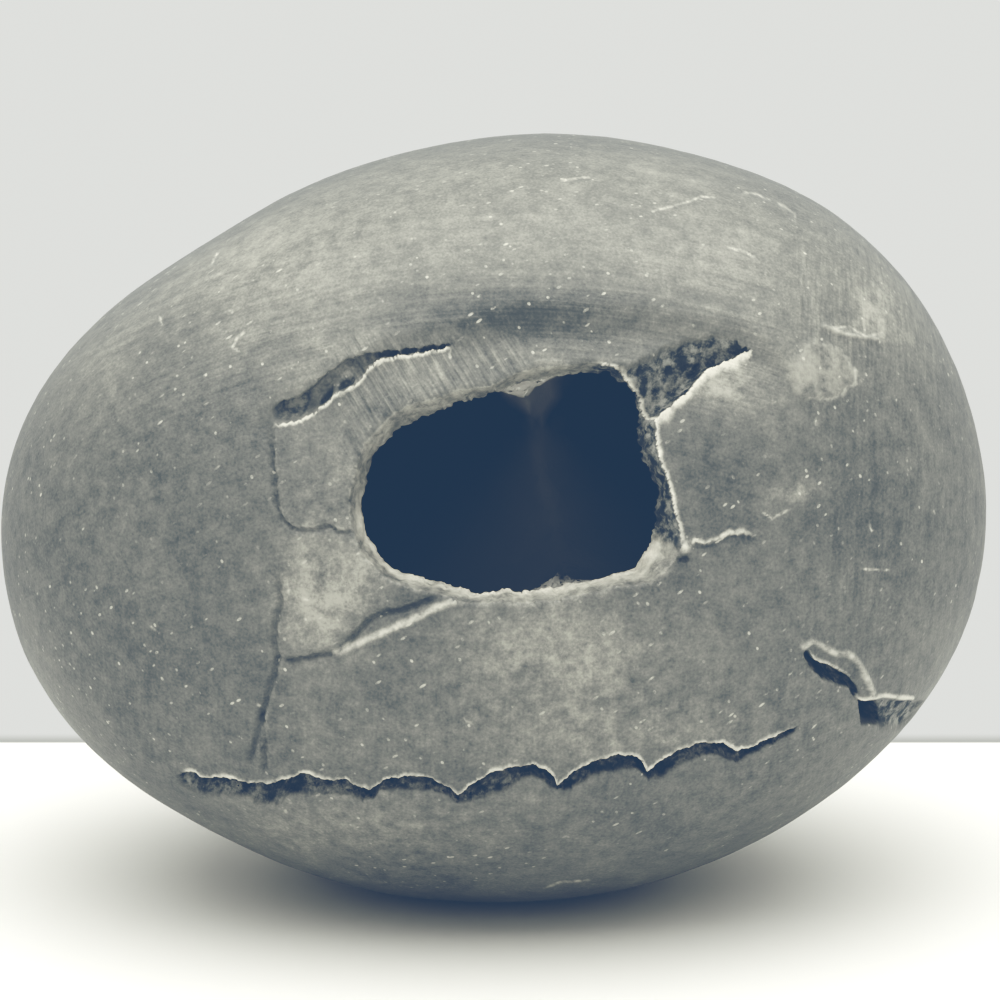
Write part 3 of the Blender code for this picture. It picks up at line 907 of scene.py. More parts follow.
# %% From a direction to a point
FINENESS_PLACES = (0.0, 0.55, WALL_SHARE - 0.02, WALL_SHARE, 1.0)
FINENESS_INSIDE = (1.0, 0.85, 0.45, 0.20, 0.17)
FRONT_FINENESS = 0.56
BACK_FINENESS = 1.16
FEATURE_FINENESS = 0.155
LIP_ROUND = 0.14
ROUND_WIDTH = 0.16
RIM_WIDTH = 0.32


def allowed_edges(shape, back, inner, share, outside):
    """How long the mesh's edges may be at each spot, in millimetres."""
    toward_back = smooth_step((back + 8.0) / 12.0)
    smooth_skin = FRONT_FINENESS + (BACK_FINENESS - FRONT_FINENESS) * toward_back
    near = np.minimum(shape["near"], np.maximum(outside, 0.0))
    fine = np.minimum(smooth_skin, FEATURE_FINENESS + 0.20 * near)
    return np.where(inner, np.interp(share, FINENESS_PLACES, FINENESS_INSIDE), fine)


def stone_points(directions):
    """Shaped points, with how fine the mesh has to be there and the finish masks."""
    plain = ovoid_points(directions)
    across, height = to_picture(plain)
    normals = skin_normals(plain)
    shape, facing = skin_shape(plain, normals, across, height)
    lift = UP - normals * (normals @ UP)[:, None]
    points = plain - normals * shape["sink"][:, None] + lift * shape["slide"][:, None]

    away_x, away_z = across - MOUTH_MIDDLE[0], height - MOUTH_MIDDLE[1]
    angle = np.arctan2(away_z, away_x)
    reach = np.hypot(away_x, away_z)
    edge = from_table(angle, edge_reach)
    outside = np.where(facing, reach - edge, FAR)
    roll = np.where(outside > 0.0, bump_shape(outside, ROUND_WIDTH), 0.0)
    points = points - normals * (LIP_ROUND * roll)[:, None]
    rim = np.where(outside > 0.0, bump_shape(outside - 0.1, RIM_WIDTH), 0.0)
    inner = facing & (reach / edge < 1.0)
    share = np.where(inner, reach / edge, 1.0)
    if inner.any():
        points[inner] = inside_mouth(angle[inner], share[inner])
    points[:, 2] = np.maximum(points[:, 2], REST_LEVEL)

    away = np.maximum(reach, 0.1)
    finish_masks(shape, inner, share, rim, away_x / away, away_z / away)
    shape["ridge"] = np.where(inner, ridge_light_mask(*to_picture(points)), 0.0)
    shape["fine"] = allowed_edges(shape, plain[:, 1], inner, share, outside)
    return points, shape


probe, _ = stone_points(np.array([[1.0, 0.0, 0.0]]))
print("the stone's right end is at", np.round(probe[0], 1))

# %% [markdown]
# ## Making the mesh only as fine as it must be
#
# A uniform mesh fine enough for a crack's lip would need millions of triangles. Here a coarse
# ball is refined by bisection instead: wherever an edge comes out longer on the shaped stone
# than the place allows, it is halved. A triangle is always cut across its longest edge first,
# which keeps the triangles well shaped and leaves no open joints between fine and coarse.

# %% Bisection
START_SUBDIVISIONS = 5
MOST_PASSES = 12
EDGE_ALLOWANCE = 1.80


def start_ball():
    """Corner directions and triangles of a coarse ball."""
    ball = bmesh.new()
    bmesh.ops.create_icosphere(ball, subdivisions=START_SUBDIVISIONS, radius=1.0)
    corners = np.array([corner.co for corner in ball.verts])
    faces = np.array([[corner.index for corner in face.verts] for face in ball.faces])
    ball.free()
    return corners / np.linalg.norm(corners, axis=1, keepdims=True), faces


def triangle_edges(faces, count):
    """Each triangle's three edges as numbers into one list of unlike edges."""
    pairs = np.stack([faces, np.roll(faces, -1, axis=1)], axis=2)
    low, high = pairs.min(axis=2), pairs.max(axis=2)
    keys, numbers = np.unique(low * count + high, return_inverse=True)
    return np.stack([keys // count, keys % count], axis=1), numbers.reshape(faces.shape)


def bisect(corners, faces):
    """One pass: halves every edge that is too long, and returns whether any was."""
    points, shape = stone_points(corners)
    edges, numbers = triangle_edges(faces, len(corners))
    length = np.linalg.norm(points[edges[:, 0]] - points[edges[:, 1]], axis=1)
    allowed = np.minimum(shape["fine"][edges[:, 0]], shape["fine"][edges[:, 1]])
    marked = length > EDGE_ALLOWANCE * allowed
    if not marked.any():
        return corners, faces, False
    ranked = length[numbers]
    longest = ranked.argmax(axis=1)
    rows = np.arange(len(faces))
    while True:
        touched = marked[numbers].any(axis=1)
        wanted = numbers[rows[touched], longest[touched]]
        if marked[wanted].all():
            break
        marked[wanted] = True
    fresh = corners[edges[marked, 0]] + corners[edges[marked, 1]]
    fresh = fresh / np.linalg.norm(fresh, axis=1, keepdims=True)
    middle = np.full(len(edges), -1)
    middle[marked] = len(corners) + np.arange(int(marked.sum()))
    turn = (longest[:, None] + np.arange(3)) % 3
    a, b, c = (faces[rows, turn[:, step]] for step in range(3))
    ab, bc, ca = (middle[numbers[rows, turn[:, step]]] for step in range(3))
    kept = ab < 0
    pieces = [faces[kept]]
    near_a = (~kept) & (ca >= 0)
    whole_a = (~kept) & (ca < 0)
    near_b = (~kept) & (bc >= 0)
    whole_b = (~kept) & (bc < 0)
    for pick, triple in ((whole_a, (a, ab, c)), (near_a, (a, ab, ca)), (near_a, (ab, c, ca)),
                         (whole_b, (ab, b, c)), (near_b, (ab, b, bc)), (near_b, (ab, bc, c))):
        pieces.append(np.stack([values[pick] for values in triple], axis=1))
    return np.concatenate([corners, fresh]), np.concatenate(pieces), True


def refined_ball():
    """The coarse ball, refined until its edges are short enough."""
    corners, faces = start_ball()
    for _ in range(MOST_PASSES):
        corners, faces, growing = bisect(corners, faces)
        if not growing:
            break
    return corners, faces


corners, faces = refined_ball()
print("triangles:", len(faces), "corners:", len(corners))

# %% [markdown]
# ## The mesh and its masks
#
# The points become one mesh. What the rule knows about each place is stored on it as named
# attributes, so that the weathering and the material can read where the stone is broken, where
# it is rubbed pale or painted with a highlight, and where it lies deep inside and is painted with
# shade.

# %% Build the stone's mesh
STONE_PLACE = np.array([0.0, 0.0, -REST_LEVEL])
INSIDE_BOX = 0.9985

points, shape = stone_points(corners)
placed = (points + STONE_PLACE) * INSIDE_BOX * MM
stone_mesh = bpy.data.meshes.new("worn_stone")
stone_mesh.from_pydata(placed.tolist(), [], faces.tolist())
stone_mesh.shade_smooth()
for name in ("broken", "worn", "deep", "rim", "wall", "blob", "tone", "gap", "ridge"):
    attribute = stone_mesh.attributes.new(name, "FLOAT", "POINT")
    attribute.data.foreach_set("value", shape[name].astype(np.float32))
stone = bpy.data.objects.new("worn_stone", stone_mesh)
bpy.context.scene.collection.objects.link(stone)
print("stone mesh:", len(stone_mesh.polygons), "triangles")

# %% [markdown]
# ## Formulas for nodes
#
# Weathering and finish are both sums of masks and noise. Written as nodes by hand they would
# be unreadable, so a small class wraps a socket and lets Python's own signs add the Maths
# nodes. Colours go through Mix and places through Vector Math, because a Maths node would
# turn a colour grey. The same class serves geometry nodes and shader nodes.

# %% A socket that can be added up
class Value:
    """A node's socket, used like a number."""

    def __init__(self, net, socket):
        self.net = net
        self.socket = socket

    def maths(self, operation, *others):
        inputs = dict(enumerate((self,) + others))
        return self.net.node("ShaderNodeMath", {"operation": operation}, inputs)[0]

    def __add__(self, other):
        return self.maths("ADD", other)

    def __sub__(self, other):
        return self.maths("SUBTRACT", other)

    def __rsub__(self, other):
        return (self * -1.0) + other

    def __mul__(self, other):
        return self.maths("MULTIPLY", other)

    def at_least(self, other):
        return self.maths("MAXIMUM", other)

    def at_most(self, other):
        return self.maths("MINIMUM", other)

    def size(self):
        return self.maths("ABSOLUTE")

    def rise(self, low, high):
        """0 up to low, 1 from high, smooth between. With low above high it falls."""
        settings = {"interpolation_type": "SMOOTHSTEP"}
        return self.net.node("ShaderNodeMapRange", settings, {0: self, 1: low, 2: high})[0]

    __radd__ = __add__
    __rmul__ = __mul__


class Outputs:
    """What a new node gives, by name or number."""

    def __init__(self, net, node):
        self.net = net
        self.node = node

    def __getitem__(self, name):
        return Value(self.net, self.node.outputs[name])


class Net:
    """A node tree that nodes are added to."""

    def __init__(self, tree):
        self.tree = tree

    def feed(self, socket, value):
        if isinstance(value, Value):
            self.tree.links.new(value.socket, socket)
        else:
            socket.default_value = value

    def node(self, kind, settings=None, inputs=None):
        """Adds any node: its settings first, then the values or links of its sockets."""
        made = self.tree.nodes.new(kind)
        for name, value in (settings or {}).items():
            setattr(made, name, value)
        for name, value in (inputs or {}).items():
            self.feed(made.inputs[name], value)
        return Outputs(self, made)

    def mix(self, share, first, second):
        """Two colours mixed by a share."""
        inputs = {0: share, 6: first, 7: second}
        return self.node("ShaderNodeMix", {"data_type": "RGBA"}, inputs)[2]

    def vector(self, operation, *inputs):
        """Vector maths on places or directions."""
        return self.node("ShaderNodeVectorMath", {"operation": operation},
                         dict(enumerate(inputs)))[0]

    def scaled(self, place, factor):
        """A place or direction times a number."""
        return self.node("ShaderNodeVectorMath", {"operation": "SCALE"},
                         {0: place, "Scale": factor})[0]

    def noise(self, place, scale, detail=3.0, roughness=0.5, distortion=0.0):
        """Cloudy noise from 0 to 1, at a number of waves per millimetre."""
        inputs = {"Vector": place, "Scale": scale, "Detail": detail, "Roughness": roughness,
                  "Distortion": distortion}
        return self.node("ShaderNodeTexNoise", None, inputs)[0]


print("node formulas are ready")

# %% [markdown]
# ## Weathering
#
# Broken stone is grainy and flaky; a river-worn skin only waves a little. Both follow a rule
# of place, so a geometry nodes tree moves the points along their normals: flakes and grain
# where the mesh is marked broken, lumps in the hollow, and long shallow waves on the skin.
# The tree has its sizes as named inputs, and the flat spot underneath is kept flat. It ends by
# realizing instances and setting the material, so that its result is a plain mesh with its
# finish on. Its noises follow place, so nothing in it is random.

# %% The weathering tree
def new_tree(name, inputs):
    """An empty geometry nodes tree with a geometry socket each way and named sizes."""
    tree = bpy.data.node_groups.new(name, "GeometryNodeTree")
    tree.interface.new_socket(name="Geometry", in_out="INPUT", socket_type="NodeSocketGeometry")
    for label, value in inputs.items():
        socket = tree.interface.new_socket(name=label, in_out="INPUT",
                                           socket_type="NodeSocketFloat")
        socket.default_value = value
    tree.interface.new_socket(name="Geometry", in_out="OUTPUT", socket_type="NodeSocketGeometry")
    net = Net(tree)
    return tree, net, net.node("NodeGroupInput"), tree.nodes.new("NodeGroupOutput")


def named(net, name):
    """A mask stored on the mesh."""
    return net.node("GeometryNodeInputNamedAttribute", {"data_type": "FLOAT"}, {"Name": name})[0]


WEATHER_DEPTHS = {
    "Grain Depth": 0.00030,
    "Flake Depth": 0.00034,
    "Hollow Lumps": 0.00110,
    "Skin Waves": 0.00022,
    "Skin Dents": 0.00006,
}
GRAINS_PER_MM = 1.1
FLAKES_PER_MM = 0.85
FLAKE_STRETCH = (1.0, 1.0, 1.9)
LUMPS_PER_MM = 0.16
WAVES_PER_MM = 0.055
DENTS_PER_MM = 0.42


def weathering_tree(material):
    """Moves the stone's points in and out, by place and mask, and sets the material."""
    tree, net, given, result = new_tree("weathering", WEATHER_DEPTHS)
    place = net.scaled(net.node("GeometryNodeInputPosition")[0], 1.0 / MM)
    broken, wall, deep = named(net, "broken"), named(net, "wall"), named(net, "deep")
    inside = (deep - named(net, "gap")).at_least(0.0)
    grain = net.noise(place, GRAINS_PER_MM, 4.0, 0.62) - 0.5
    cells = net.node("ShaderNodeTexVoronoi", {"feature": "F1"},
                     {"Vector": net.vector("MULTIPLY", place, FLAKE_STRETCH),
                      "Scale": FLAKES_PER_MM})
    flakes = cells["Distance"] - 0.45
    lumps = net.noise(place, LUMPS_PER_MM, 3.0, 0.5) - 0.5
    waves = net.noise(place, WAVES_PER_MM, 2.0, 0.45) - 0.5
    dents = net.noise(place, DENTS_PER_MM, 3.0, 0.5) - 0.5
    skin = 1.0 - broken.at_most(1.0)
    rough = broken * (0.55 + 0.45 * wall)
    move = (rough * (grain * 2.0 * given["Grain Depth"] - flakes * given["Flake Depth"])
            + inside * lumps * 2.0 * given["Hollow Lumps"]
            + skin * (waves * 2.0 * given["Skin Waves"] + dents * 2.0 * given["Skin Dents"]))
    offset = net.scaled(net.node("GeometryNodeInputNormal")[0], move)
    moved = net.node("GeometryNodeSetPosition", None,
                     {"Geometry": given["Geometry"], "Offset": offset})[0]
    split = net.node("ShaderNodeSeparateXYZ", None,
                     {"Vector": net.node("GeometryNodeInputPosition")[0]})
    floor = net.node("ShaderNodeCombineXYZ", None,
                     {"X": split["X"], "Y": split["Y"], "Z": split["Z"].at_least(0.0)})[0]
    level = net.node("GeometryNodeSetPosition", None, {"Geometry": moved, "Position": floor})[0]
    whole = net.node("GeometryNodeRealizeInstances", None, {"Geometry": level})[0]
    finished = net.node("GeometryNodeSetMaterial", None, {"Geometry": whole, "Material": material})
    tree.links.new(finished[0].socket, result.inputs[0])
    return tree


def apply_tree(piece, tree, sizes):
    """Runs a tree on a piece with the given sizes and leaves its result as a plain mesh."""
    modifier = piece.modifiers.new(tree.name, "NODES")
    modifier.node_group = tree
    for item in tree.interface.items_tree:
        if item.in_out == "INPUT" and item.name in sizes:
            modifier[item.identifier] = sizes[item.name]
    bpy.context.view_layer.update()
    finished = piece.evaluated_get(bpy.context.evaluated_depsgraph_get())
    made = bpy.data.meshes.new_from_object(finished)
    piece.modifiers.remove(modifier)
    old = piece.data
    piece.data = made
    bpy.data.meshes.remove(old)
    made.name = piece.name


print("weathering depths in mm:", [round(depth / MM, 2) for depth in WEATHER_DEPTHS.values()])

# %% [markdown]
# ## The finish
#
# The skin is dark slate-grey stone with a satin wear, clouded in tone, freckled with pale
# specks and scored by the river, by handling and, above the mouth, by a file. Its top is
# painted lighter where the light falls on it. Edges that stand out are rubbed pale and painted
# paler still as highlights, broken stone is dull, and the hollow, the pit and the floors of the
# cracks are painted near-black as shade, with painted light on the ridge inside the hollow.
# Apart from the masks stored on the mesh all of it follows place, so each pattern is a
# function of the point in millimetres.

# %% Skin patterns
SPECK_REACH = 0.15


def turned(net, place, angle, stretch):
    """The place turned about the front's axis by an angle in radians, then stretched."""
    rotated = net.node("ShaderNodeVectorRotate", {"rotation_type": "Y_AXIS"},
                       {"Vector": place, "Angle": angle})[0]
    return net.vector("MULTIPLY", rotated, stretch)


def specks(net, place, degrees, length, width, share):
    """Short pale nicks in one direction: a share of the cells of a stretched pattern."""
    cell = 2.0 * SPECK_REACH
    stretch = (cell / length, cell / width, cell / width)
    cells = net.node("ShaderNodeTexVoronoi", {"feature": "F1"},
                     {"Vector": turned(net, place, math.radians(degrees), stretch),
                      "Scale": 1.0})
    chosen = net.node("ShaderNodeSeparateColor", None, {0: cells["Color"]})["Red"]
    near = cells["Distance"].rise(SPECK_REACH, 0.6 * SPECK_REACH)
    return near * chosen.rise(1.0 - share, 1.02 - share)


def window(along, low, high, soft):
    """1 between two limits, with soft ends."""
    return along.rise(low - soft, low + soft) * along.rise(high + soft, high - soft)


print("a nick reaches", SPECK_REACH, "of its cell")

# %% What the finish reads
MASKS = ("broken", "worn", "deep", "rim", "blob", "tone", "gap", "ridge")
CLOUDS_PER_MM = 0.10
MOTTLES_PER_MM = 0.75
SPECKLES_PER_MM = 4.6
# The height band where the top is painted lighter, where the light falls on it.
PAINTED_TOP_LIGHT_RISE = (10.0, 21.0)


def read_surface(net):
    """The place in millimetres, three noises of it, and the masks stored on the mesh."""
    place = net.scaled(net.node("ShaderNodeTexCoord")["Object"], 1.0 / MM)
    axes = net.node("ShaderNodeSeparateXYZ", None, {"Vector": place})
    z = axes["Z"] - float(STONE_PLACE[2])
    masks = {name: net.node("ShaderNodeAttribute", {"attribute_name": name})["Fac"]
             for name in MASKS}
    return SimpleNamespace(place=place, x=axes["X"], y=axes["Y"], z=z, painted_top_light=z.rise(*PAINTED_TOP_LIGHT_RISE),
                           clouds=net.noise(place, CLOUDS_PER_MM, 2.0, 0.5, 0.3),
                           mottle=net.noise(place, MOTTLES_PER_MM, 4.0, 0.70),
                           grain=net.noise(place, SPECKLES_PER_MM, 1.0, 0.6), **masks)


print("masks that the finish reads:", ", ".join(MASKS))

# %% [markdown]
# ## Streaks in three directions
#
# The river scored the face from side to side, the sides upright, and a file has left slanting
# marks above the mouth. Three noises would be slow to render, so there is one, stretched along
# an angle that depends on the place. It fades out where the angle changes, to hide the turn.

# %% Streaks
SLANTED = math.radians(4.0)
SLANT_CHANGE = math.radians(-0.7)
FILED = math.radians(-56.0)
UPRIGHT = math.radians(88.0)
STREAK_SIZE = (6.0, 2.4, 0.28)
SIDE_TURN = 0.20
FILE_TURN = 0.10
FILED_ACROSS = (-11.0, 2.0)
FILED_UP = (9.5, 18.0)
FILED_SOFT = 1.5
RIGHT_SIDE = (20.0, 28.0)
LOW_BAND = (-18.0, -6.0)
TOP_BAND = (14.0, 24.0)
BAND_SOFT = 3.0


def streaks(net, on):
    """Scores of the skin, from about -0.5 to 0.5."""
    front = on.y.rise(0.0, -8.0)
    filed = window(on.x, *FILED_ACROSS, FILED_SOFT) * window(on.z, *FILED_UP, FILED_SOFT) * front
    side = on.x.rise(*RIGHT_SIDE).at_least(window(on.z, *LOW_BAND, BAND_SOFT) * 0.6)
    angle = SLANTED + on.x * SLANT_CHANGE
    angle = angle + side.rise(SIDE_TURN, SIDE_TURN + 0.01) * (UPRIGHT - angle)
    angle = angle + filed.rise(FILE_TURN, FILE_TURN + 0.01) * (FILED - angle)
    stretch = tuple(1.0 / size for size in STREAK_SIZE)
    streak = net.noise(turned(net, on.place, angle, stretch), 1.0, 1.0, 0.5) - 0.5
    band = window(on.z, *TOP_BAND, BAND_SOFT)
    one_way = ((side - SIDE_TURN).size().rise(0.0, 0.18)
               * (filed - FILE_TURN).size().rise(0.0, 0.10))
    return streak * one_way * (0.15 + 0.65 * filed + 0.15 * side + 0.34 * band)


print("a streak is", STREAK_SIZE[0], "mm long and", STREAK_SIZE[2], "mm wide")

# %% [markdown]
# ## One material from worn skin to fresh stone
#
# The skin's grey is a single number, from dark to pale, that clouds, mottle, grain, streaks and
# the stored tone push up and down. Part of the stored tone is painted light and shade, and the
# top is painted lighter, its back edge darker and the bottom a little lighter, where the light
# falls so. Broken stone has two greys of its own, rubbed edges and lips go over both as wear and
# painted highlights, and the hollow's near-black painted shade goes on last. The same noises
# roughen the surface and bump it a little, so tone and relief agree.

# %% The colours
SKIN_DARK = (0.085, 0.093, 0.098, 1.0)
SKIN_LIGHT = (0.235, 0.238, 0.228, 1.0)
SKIN_PALE = (0.430, 0.425, 0.395, 1.0)
# Pale of rubbed edges and nicks, also used as a painted highlight on edges.
PALE_WEAR_AND_HIGHLIGHT = (0.640, 0.630, 0.585, 1.0)
# The brightest lip: wear and a painted highlight where the lower lip faces up.
LIP_WEAR_AND_HIGHLIGHT = (0.820, 0.805, 0.750, 1.0)
BROKEN_DARK = (0.055, 0.065, 0.075, 1.0)
BROKEN_LIGHT = (0.370, 0.375, 0.360, 1.0)
# Near-black painted shade for the hollow, the pit, the pockets and the floors of the cracks.
HOLLOW_SHADE = (0.050, 0.062, 0.080, 1.0)
# Painted light on the ridge inside the hollow.
HOLLOW_RIDGE_LIGHT = (0.950, 0.940, 0.900, 1.0)
# Height bands where the bottom is painted a little lighter and the top's back edge darker.
BOTTOM_LIGHT_FALL = (-19.0, -28.0)
TOP_SHADE_BACK = (-12.0, 2.0)
LONG_NICKS = (35.0, 0.72, 0.26, 0.9)
SHORT_NICKS = (-58.0, 0.40, 0.28, 0.6)


def skin_colour(net, on, streak):
    """The worn skin: a clouded grey, painted lighter on the top, freckled with pale nicks."""
    # The top is painted lighter and its back edge darker, as the light falls on them; the bottom
    # is painted a little lighter, standing in for light from the floor.
    painted_bottom_light = on.z.rise(*BOTTOM_LIGHT_FALL)
    painted_top_back_shade = on.painted_top_light * on.y.rise(*TOP_SHADE_BACK)
    contrast = 1.15 + on.tone.at_least(0.0) * 3.0
    light = (0.585 + (on.clouds - 0.5) * 0.6 + (on.mottle - 0.5) * contrast
             + (on.grain - 0.5) * 0.6 + streak * 1.1 + on.tone + on.painted_top_light * 0.28
             - painted_top_back_shade * 0.60 + painted_bottom_light * 0.06)
    skin = net.mix(light.rise(0.0, 1.0), SKIN_DARK, SKIN_LIGHT)
    skin = net.mix(light.rise(0.7, 1.6), skin, SKIN_PALE)
    skin = net.mix(on.blob * (0.45 + (on.mottle - 0.5) * 2.0), skin, SKIN_PALE)
    nicks = specks(net, on.place, *LONG_NICKS) + specks(net, on.place, *SHORT_NICKS)
    shown = (0.25 + 0.75 * on.clouds.rise(0.60, 0.42)) * on.mottle.rise(0.36, 0.62) * 0.8
    return net.mix(nicks * shown, skin, PALE_WEAR_AND_HIGHLIGHT)


def stone_colour(net, on, streak):
    """The skin, broken stone, edges painted pale as wear and highlight, and the painted shade
    inside.
    """
    chips = on.mottle.rise(0.40, 0.66)
    fresh = net.mix(chips, BROKEN_DARK, BROKEN_LIGHT)
    colour = net.mix(on.broken.rise(0.1, 0.8), skin_colour(net, on, streak), fresh)
    uneven = 0.9 + (on.mottle - 0.5) * 2.0
    # Edges and lips are painted pale, as wear and as highlights where they catch the light.
    edges = on.worn.at_least(on.rim) * uneven
    colour = net.mix(edges.rise(0.1, 0.9), colour, PALE_WEAR_AND_HIGHLIGHT)
    colour = net.mix((on.rim * uneven).rise(0.75, 1.2), colour, LIP_WEAR_AND_HIGHLIGHT)
    # The hollow, the pit and the crack floors are painted near-black as shade, with painted light
    # on the ridge.
    dark = net.mix(on.ridge, HOLLOW_SHADE, HOLLOW_RIDGE_LIGHT)
    return net.mix(on.deep * (1.0 - on.gap * (0.25 + 0.65 * chips)), colour, dark)


print("skin greys:", SKIN_DARK[:3], SKIN_LIGHT[:3], SKIN_PALE[:3])

# %% The stone's material
SPECULAR = 0.45
BUMP_STRENGTH = 0.9


def stone_finish():
    """The material of the whole stone."""
    material = bpy.data.materials.new("worn_stone")
    material.use_nodes = True
    net = Net(material.node_tree)
    shader = material.node_tree.nodes["Principled BSDF"]
    on = read_surface(net)
    streak = streaks(net, on)
    net.feed(shader.inputs["Base Color"], stone_colour(net, on, streak))
    rough = (0.44 + (on.mottle - 0.5) * 0.2 + (on.clouds - 0.5) * 0.15 + on.broken * 0.4
             + on.deep * 0.3 - on.painted_top_light * 0.05)
    net.feed(shader.inputs["Roughness"], rough.at_least(0.3).at_most(0.95))
    shader.inputs["Specular IOR Level"].default_value = SPECULAR
    raised = ((on.mottle - 0.5) * (0.10 + on.broken * 0.28) + (on.grain - 0.5) * 0.022
              + streak * 0.13)
    bump = net.node("ShaderNodeBump", None,
                    {"Strength": BUMP_STRENGTH, "Distance": MM, "Height": raised})[0]
    net.feed(shader.inputs["Normal"], bump)
    return material


worn_stone = stone_finish()
print("the finish has", len(worn_stone.node_tree.nodes), "nodes")

# %% [markdown]
# ## Weather the stone and hand it over
#
# The tree runs once, with its depths set on the modifier, and its result becomes the stone's
# mesh. The stone then takes the place of the plain solid in the frame.

# %% Weather and hand over
apply_tree(stone, weathering_tree(worn_stone), WEATHER_DEPTHS)
stone.data.shade_smooth()
print("weathered stone:", len(stone.data.polygons), "triangles, with",
      [slot.name for slot in stone.data.materials])

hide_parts("stone")
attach(stone, "root")
print("the stone has its finish")

# %% [markdown]
# ## Floor, light and camera
#
# The stone stands on a plain pale floor under one broad soft light from above and in front.
# Beyond a line behind the stone the floor glows evenly, as the pale wall of a light box would,
# with a painted shadow in a strip along that line, and the soft room light is brighter from that
# side. The camera is at the eye point that the front was laid out from.

# %% The floor
FLOOR_REACH = 2.0
BACK_LINE = 0.0405
LINE_WIDTH = 0.004
FLOOR_COLOUR = (0.90, 0.90, 0.89, 1.0)
WALL_GLOW = (0.715, 0.720, 0.735, 1.0)
# A darker strip just beyond the line: a painted shadow where a wall would meet the floor.
SEAM_SHADOW = (0.470, 0.475, 0.470, 1.0)
BLACK = (0.0, 0.0, 0.0, 1.0)


def pale_floor():
    """A wide pale floor that glows beyond a line behind the stone, with a painted shadow at the
    line.
    """
    mesh = bpy.data.meshes.new("floor")
    sides = ((-1, -1), (1, -1), (1, 1), (-1, 1))
    mesh.from_pydata([(a * FLOOR_REACH, b * FLOOR_REACH, 0.0) for a, b in sides], [],
                     [(0, 1, 2, 3)])
    floor = bpy.data.objects.new("floor", mesh)
    bpy.context.scene.collection.objects.link(floor)
    material = bpy.data.materials.new("pale_floor")
    material.use_nodes = True
    net = Net(material.node_tree)
    shader = material.node_tree.nodes["Principled BSDF"]
    place = net.node("ShaderNodeTexCoord")["Object"]
    back = net.node("ShaderNodeSeparateXYZ", None, {"Vector": place})["Y"]
    beyond = back.rise(BACK_LINE, BACK_LINE + 0.2 * LINE_WIDTH)
    # The strip at the line starts darker, a painted shadow, and rises to the even pale of the
    # wall.
    glow = net.mix(back.rise(BACK_LINE, BACK_LINE + LINE_WIDTH), SEAM_SHADOW, WALL_GLOW)
    net.feed(shader.inputs["Base Color"], net.mix(beyond, FLOOR_COLOUR, BLACK))
    net.feed(shader.inputs["Emission Color"], net.mix(beyond, BLACK, glow))
    shader.inputs["Emission Strength"].default_value = 1.0
    shader.inputs["Roughness"].default_value = 0.9
    shader.inputs["Specular IOR Level"].default_value = 0.0
    mesh.materials.append(material)
    return floor


pale_floor()
print("the floor glows from", BACK_LINE / MM, "mm behind the stone's middle")

# %% The light
CENTRE = Vector((0.0, 0.0, float(STONE_PLACE[2]) * MM))
KEY_PLACE = (0.01, -0.09, 0.52)
KEY_SIZE = (0.90, 0.60)
KEY_POWER = 3.1
KEY_COLOUR = (1.0, 0.99, 0.965)
ROOM_FRONT = (0.76, 0.76, 0.76, 1.0)
ROOM_BACK = (1.00, 1.00, 0.99, 1.0)


def overhead_light():
    """A broad area light aimed at the stone's middle."""
    lamp = bpy.data.lights.new("overhead", "AREA")
    lamp.shape = "RECTANGLE"
    lamp.size, lamp.size_y = KEY_SIZE
    lamp.energy = KEY_POWER
    lamp.color = KEY_COLOUR
    holder = bpy.data.objects.new("overhead", lamp)
    holder.location = Vector(KEY_PLACE)
    holder.rotation_euler = (CENTRE - Vector(KEY_PLACE)).to_track_quat("-Z", "Y").to_euler()
    bpy.context.scene.collection.objects.link(holder)


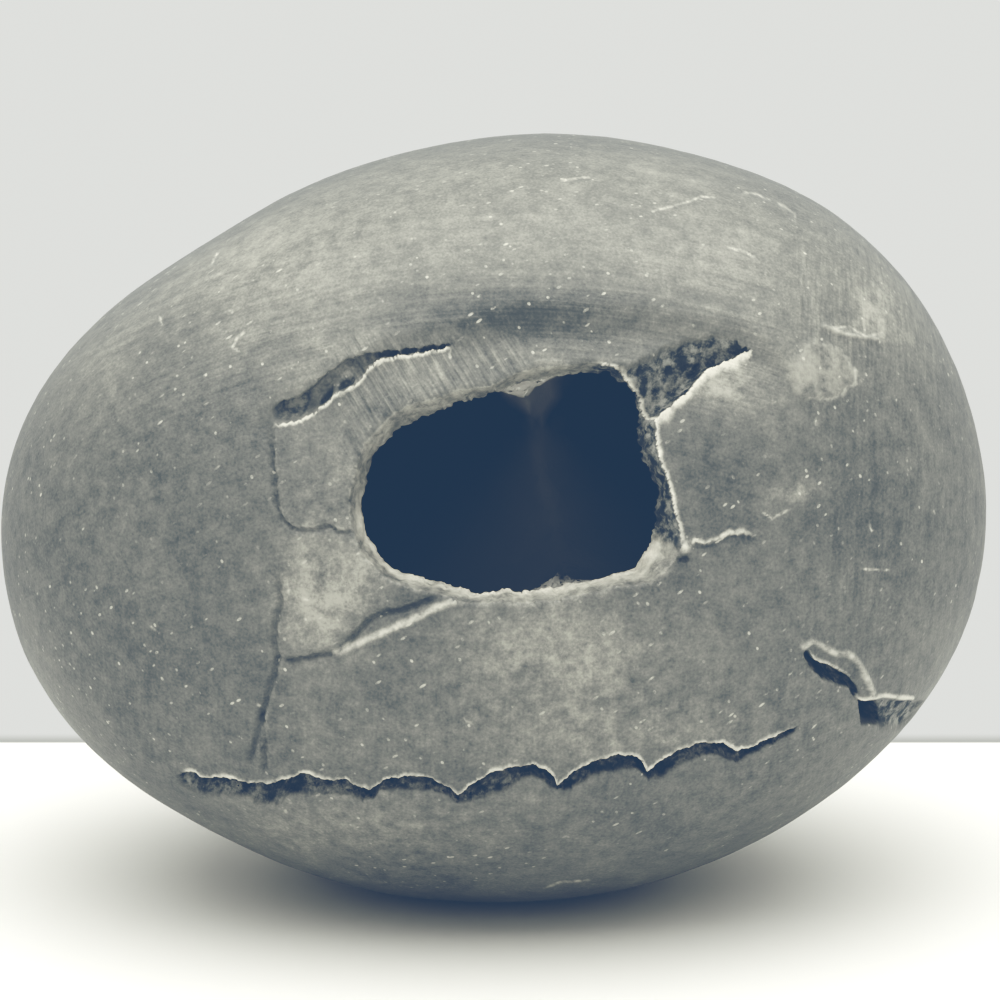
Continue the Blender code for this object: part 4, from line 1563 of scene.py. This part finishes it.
def room_light():
    """Soft light from all round, brighter from behind the stone."""
    world = bpy.data.worlds.new("soft_room")
    bpy.context.scene.world = world
    world.use_nodes = True
    net = Net(world.node_tree)
    direction = net.node("ShaderNodeTexCoord")["Generated"]
    back = net.node("ShaderNodeSeparateXYZ", None, {"Vector": direction})["Y"]
    net.feed(world.node_tree.nodes["Background"].inputs["Color"],
             net.mix(back.rise(-0.3, 0.7), ROOM_FRONT, ROOM_BACK))


overhead_light()
room_light()
print("lights are in place")

# %% The camera
SENSOR_WIDTH = 36.0
PICTURE_WIDTH = 81.0
PICTURE_SHIFT = (0.57, 1.54)

camera_data = bpy.data.cameras.new("camera")
camera_data.sensor_width = SENSOR_WIDTH
camera_data.lens = SENSOR_WIDTH * EYE_DISTANCE / PICTURE_WIDTH
camera_data.shift_x = PICTURE_SHIFT[0] / PICTURE_WIDTH
camera_data.shift_y = PICTURE_SHIFT[1] / PICTURE_WIDTH
camera_data.clip_start = 0.01
camera_data.clip_end = 10.0
camera = bpy.data.objects.new("camera", camera_data)
camera.location = CENTRE + Vector(TOWARD * EYE_DISTANCE * MM)
camera.rotation_euler = Vector(-TOWARD).to_track_quat("-Z", "Y").to_euler()
bpy.context.scene.collection.objects.link(camera)
bpy.context.scene.camera = camera
print("camera at", [round(value / MM, 1) for value in camera.location], "mm")

# %% [markdown]
# ## The photograph's tones
#
# In the photograph nothing is black: the darkest places are lifted to a deep slate blue and the
# lightest lean to a warm white. One curve for each of red, green and blue does the same.

# %% Tone curves
TONE_CURVES = (
    ((0.0, 0.0145), (0.08, 0.044), (0.16, 0.114), (0.28, 0.252), (0.55, 0.565), (1.0, 1.0)),
    ((0.0, 0.0360), (0.08, 0.061), (0.16, 0.128), (0.28, 0.258), (0.55, 0.570), (1.0, 1.0)),
    ((0.0, 0.0750), (0.08, 0.091), (0.16, 0.138), (0.28, 0.248), (0.55, 0.538), (1.0, 0.97)))


def tone_curves():
    """Sets the view's curves to the photograph's tones."""
    view = bpy.context.scene.view_settings
    view.view_transform = "Standard"
    view.use_curve_mapping = True
    for curve, spots in zip(view.curve_mapping.curves, TONE_CURVES):
        curve.points[0].location = spots[0]
        curve.points[-1].location = spots[-1]
        for across, up in spots[1:-1]:
            curve.points.new(across, up)
    view.curve_mapping.update()


tone_curves()
print("tone curves have", len(TONE_CURVES[0]), "points each")
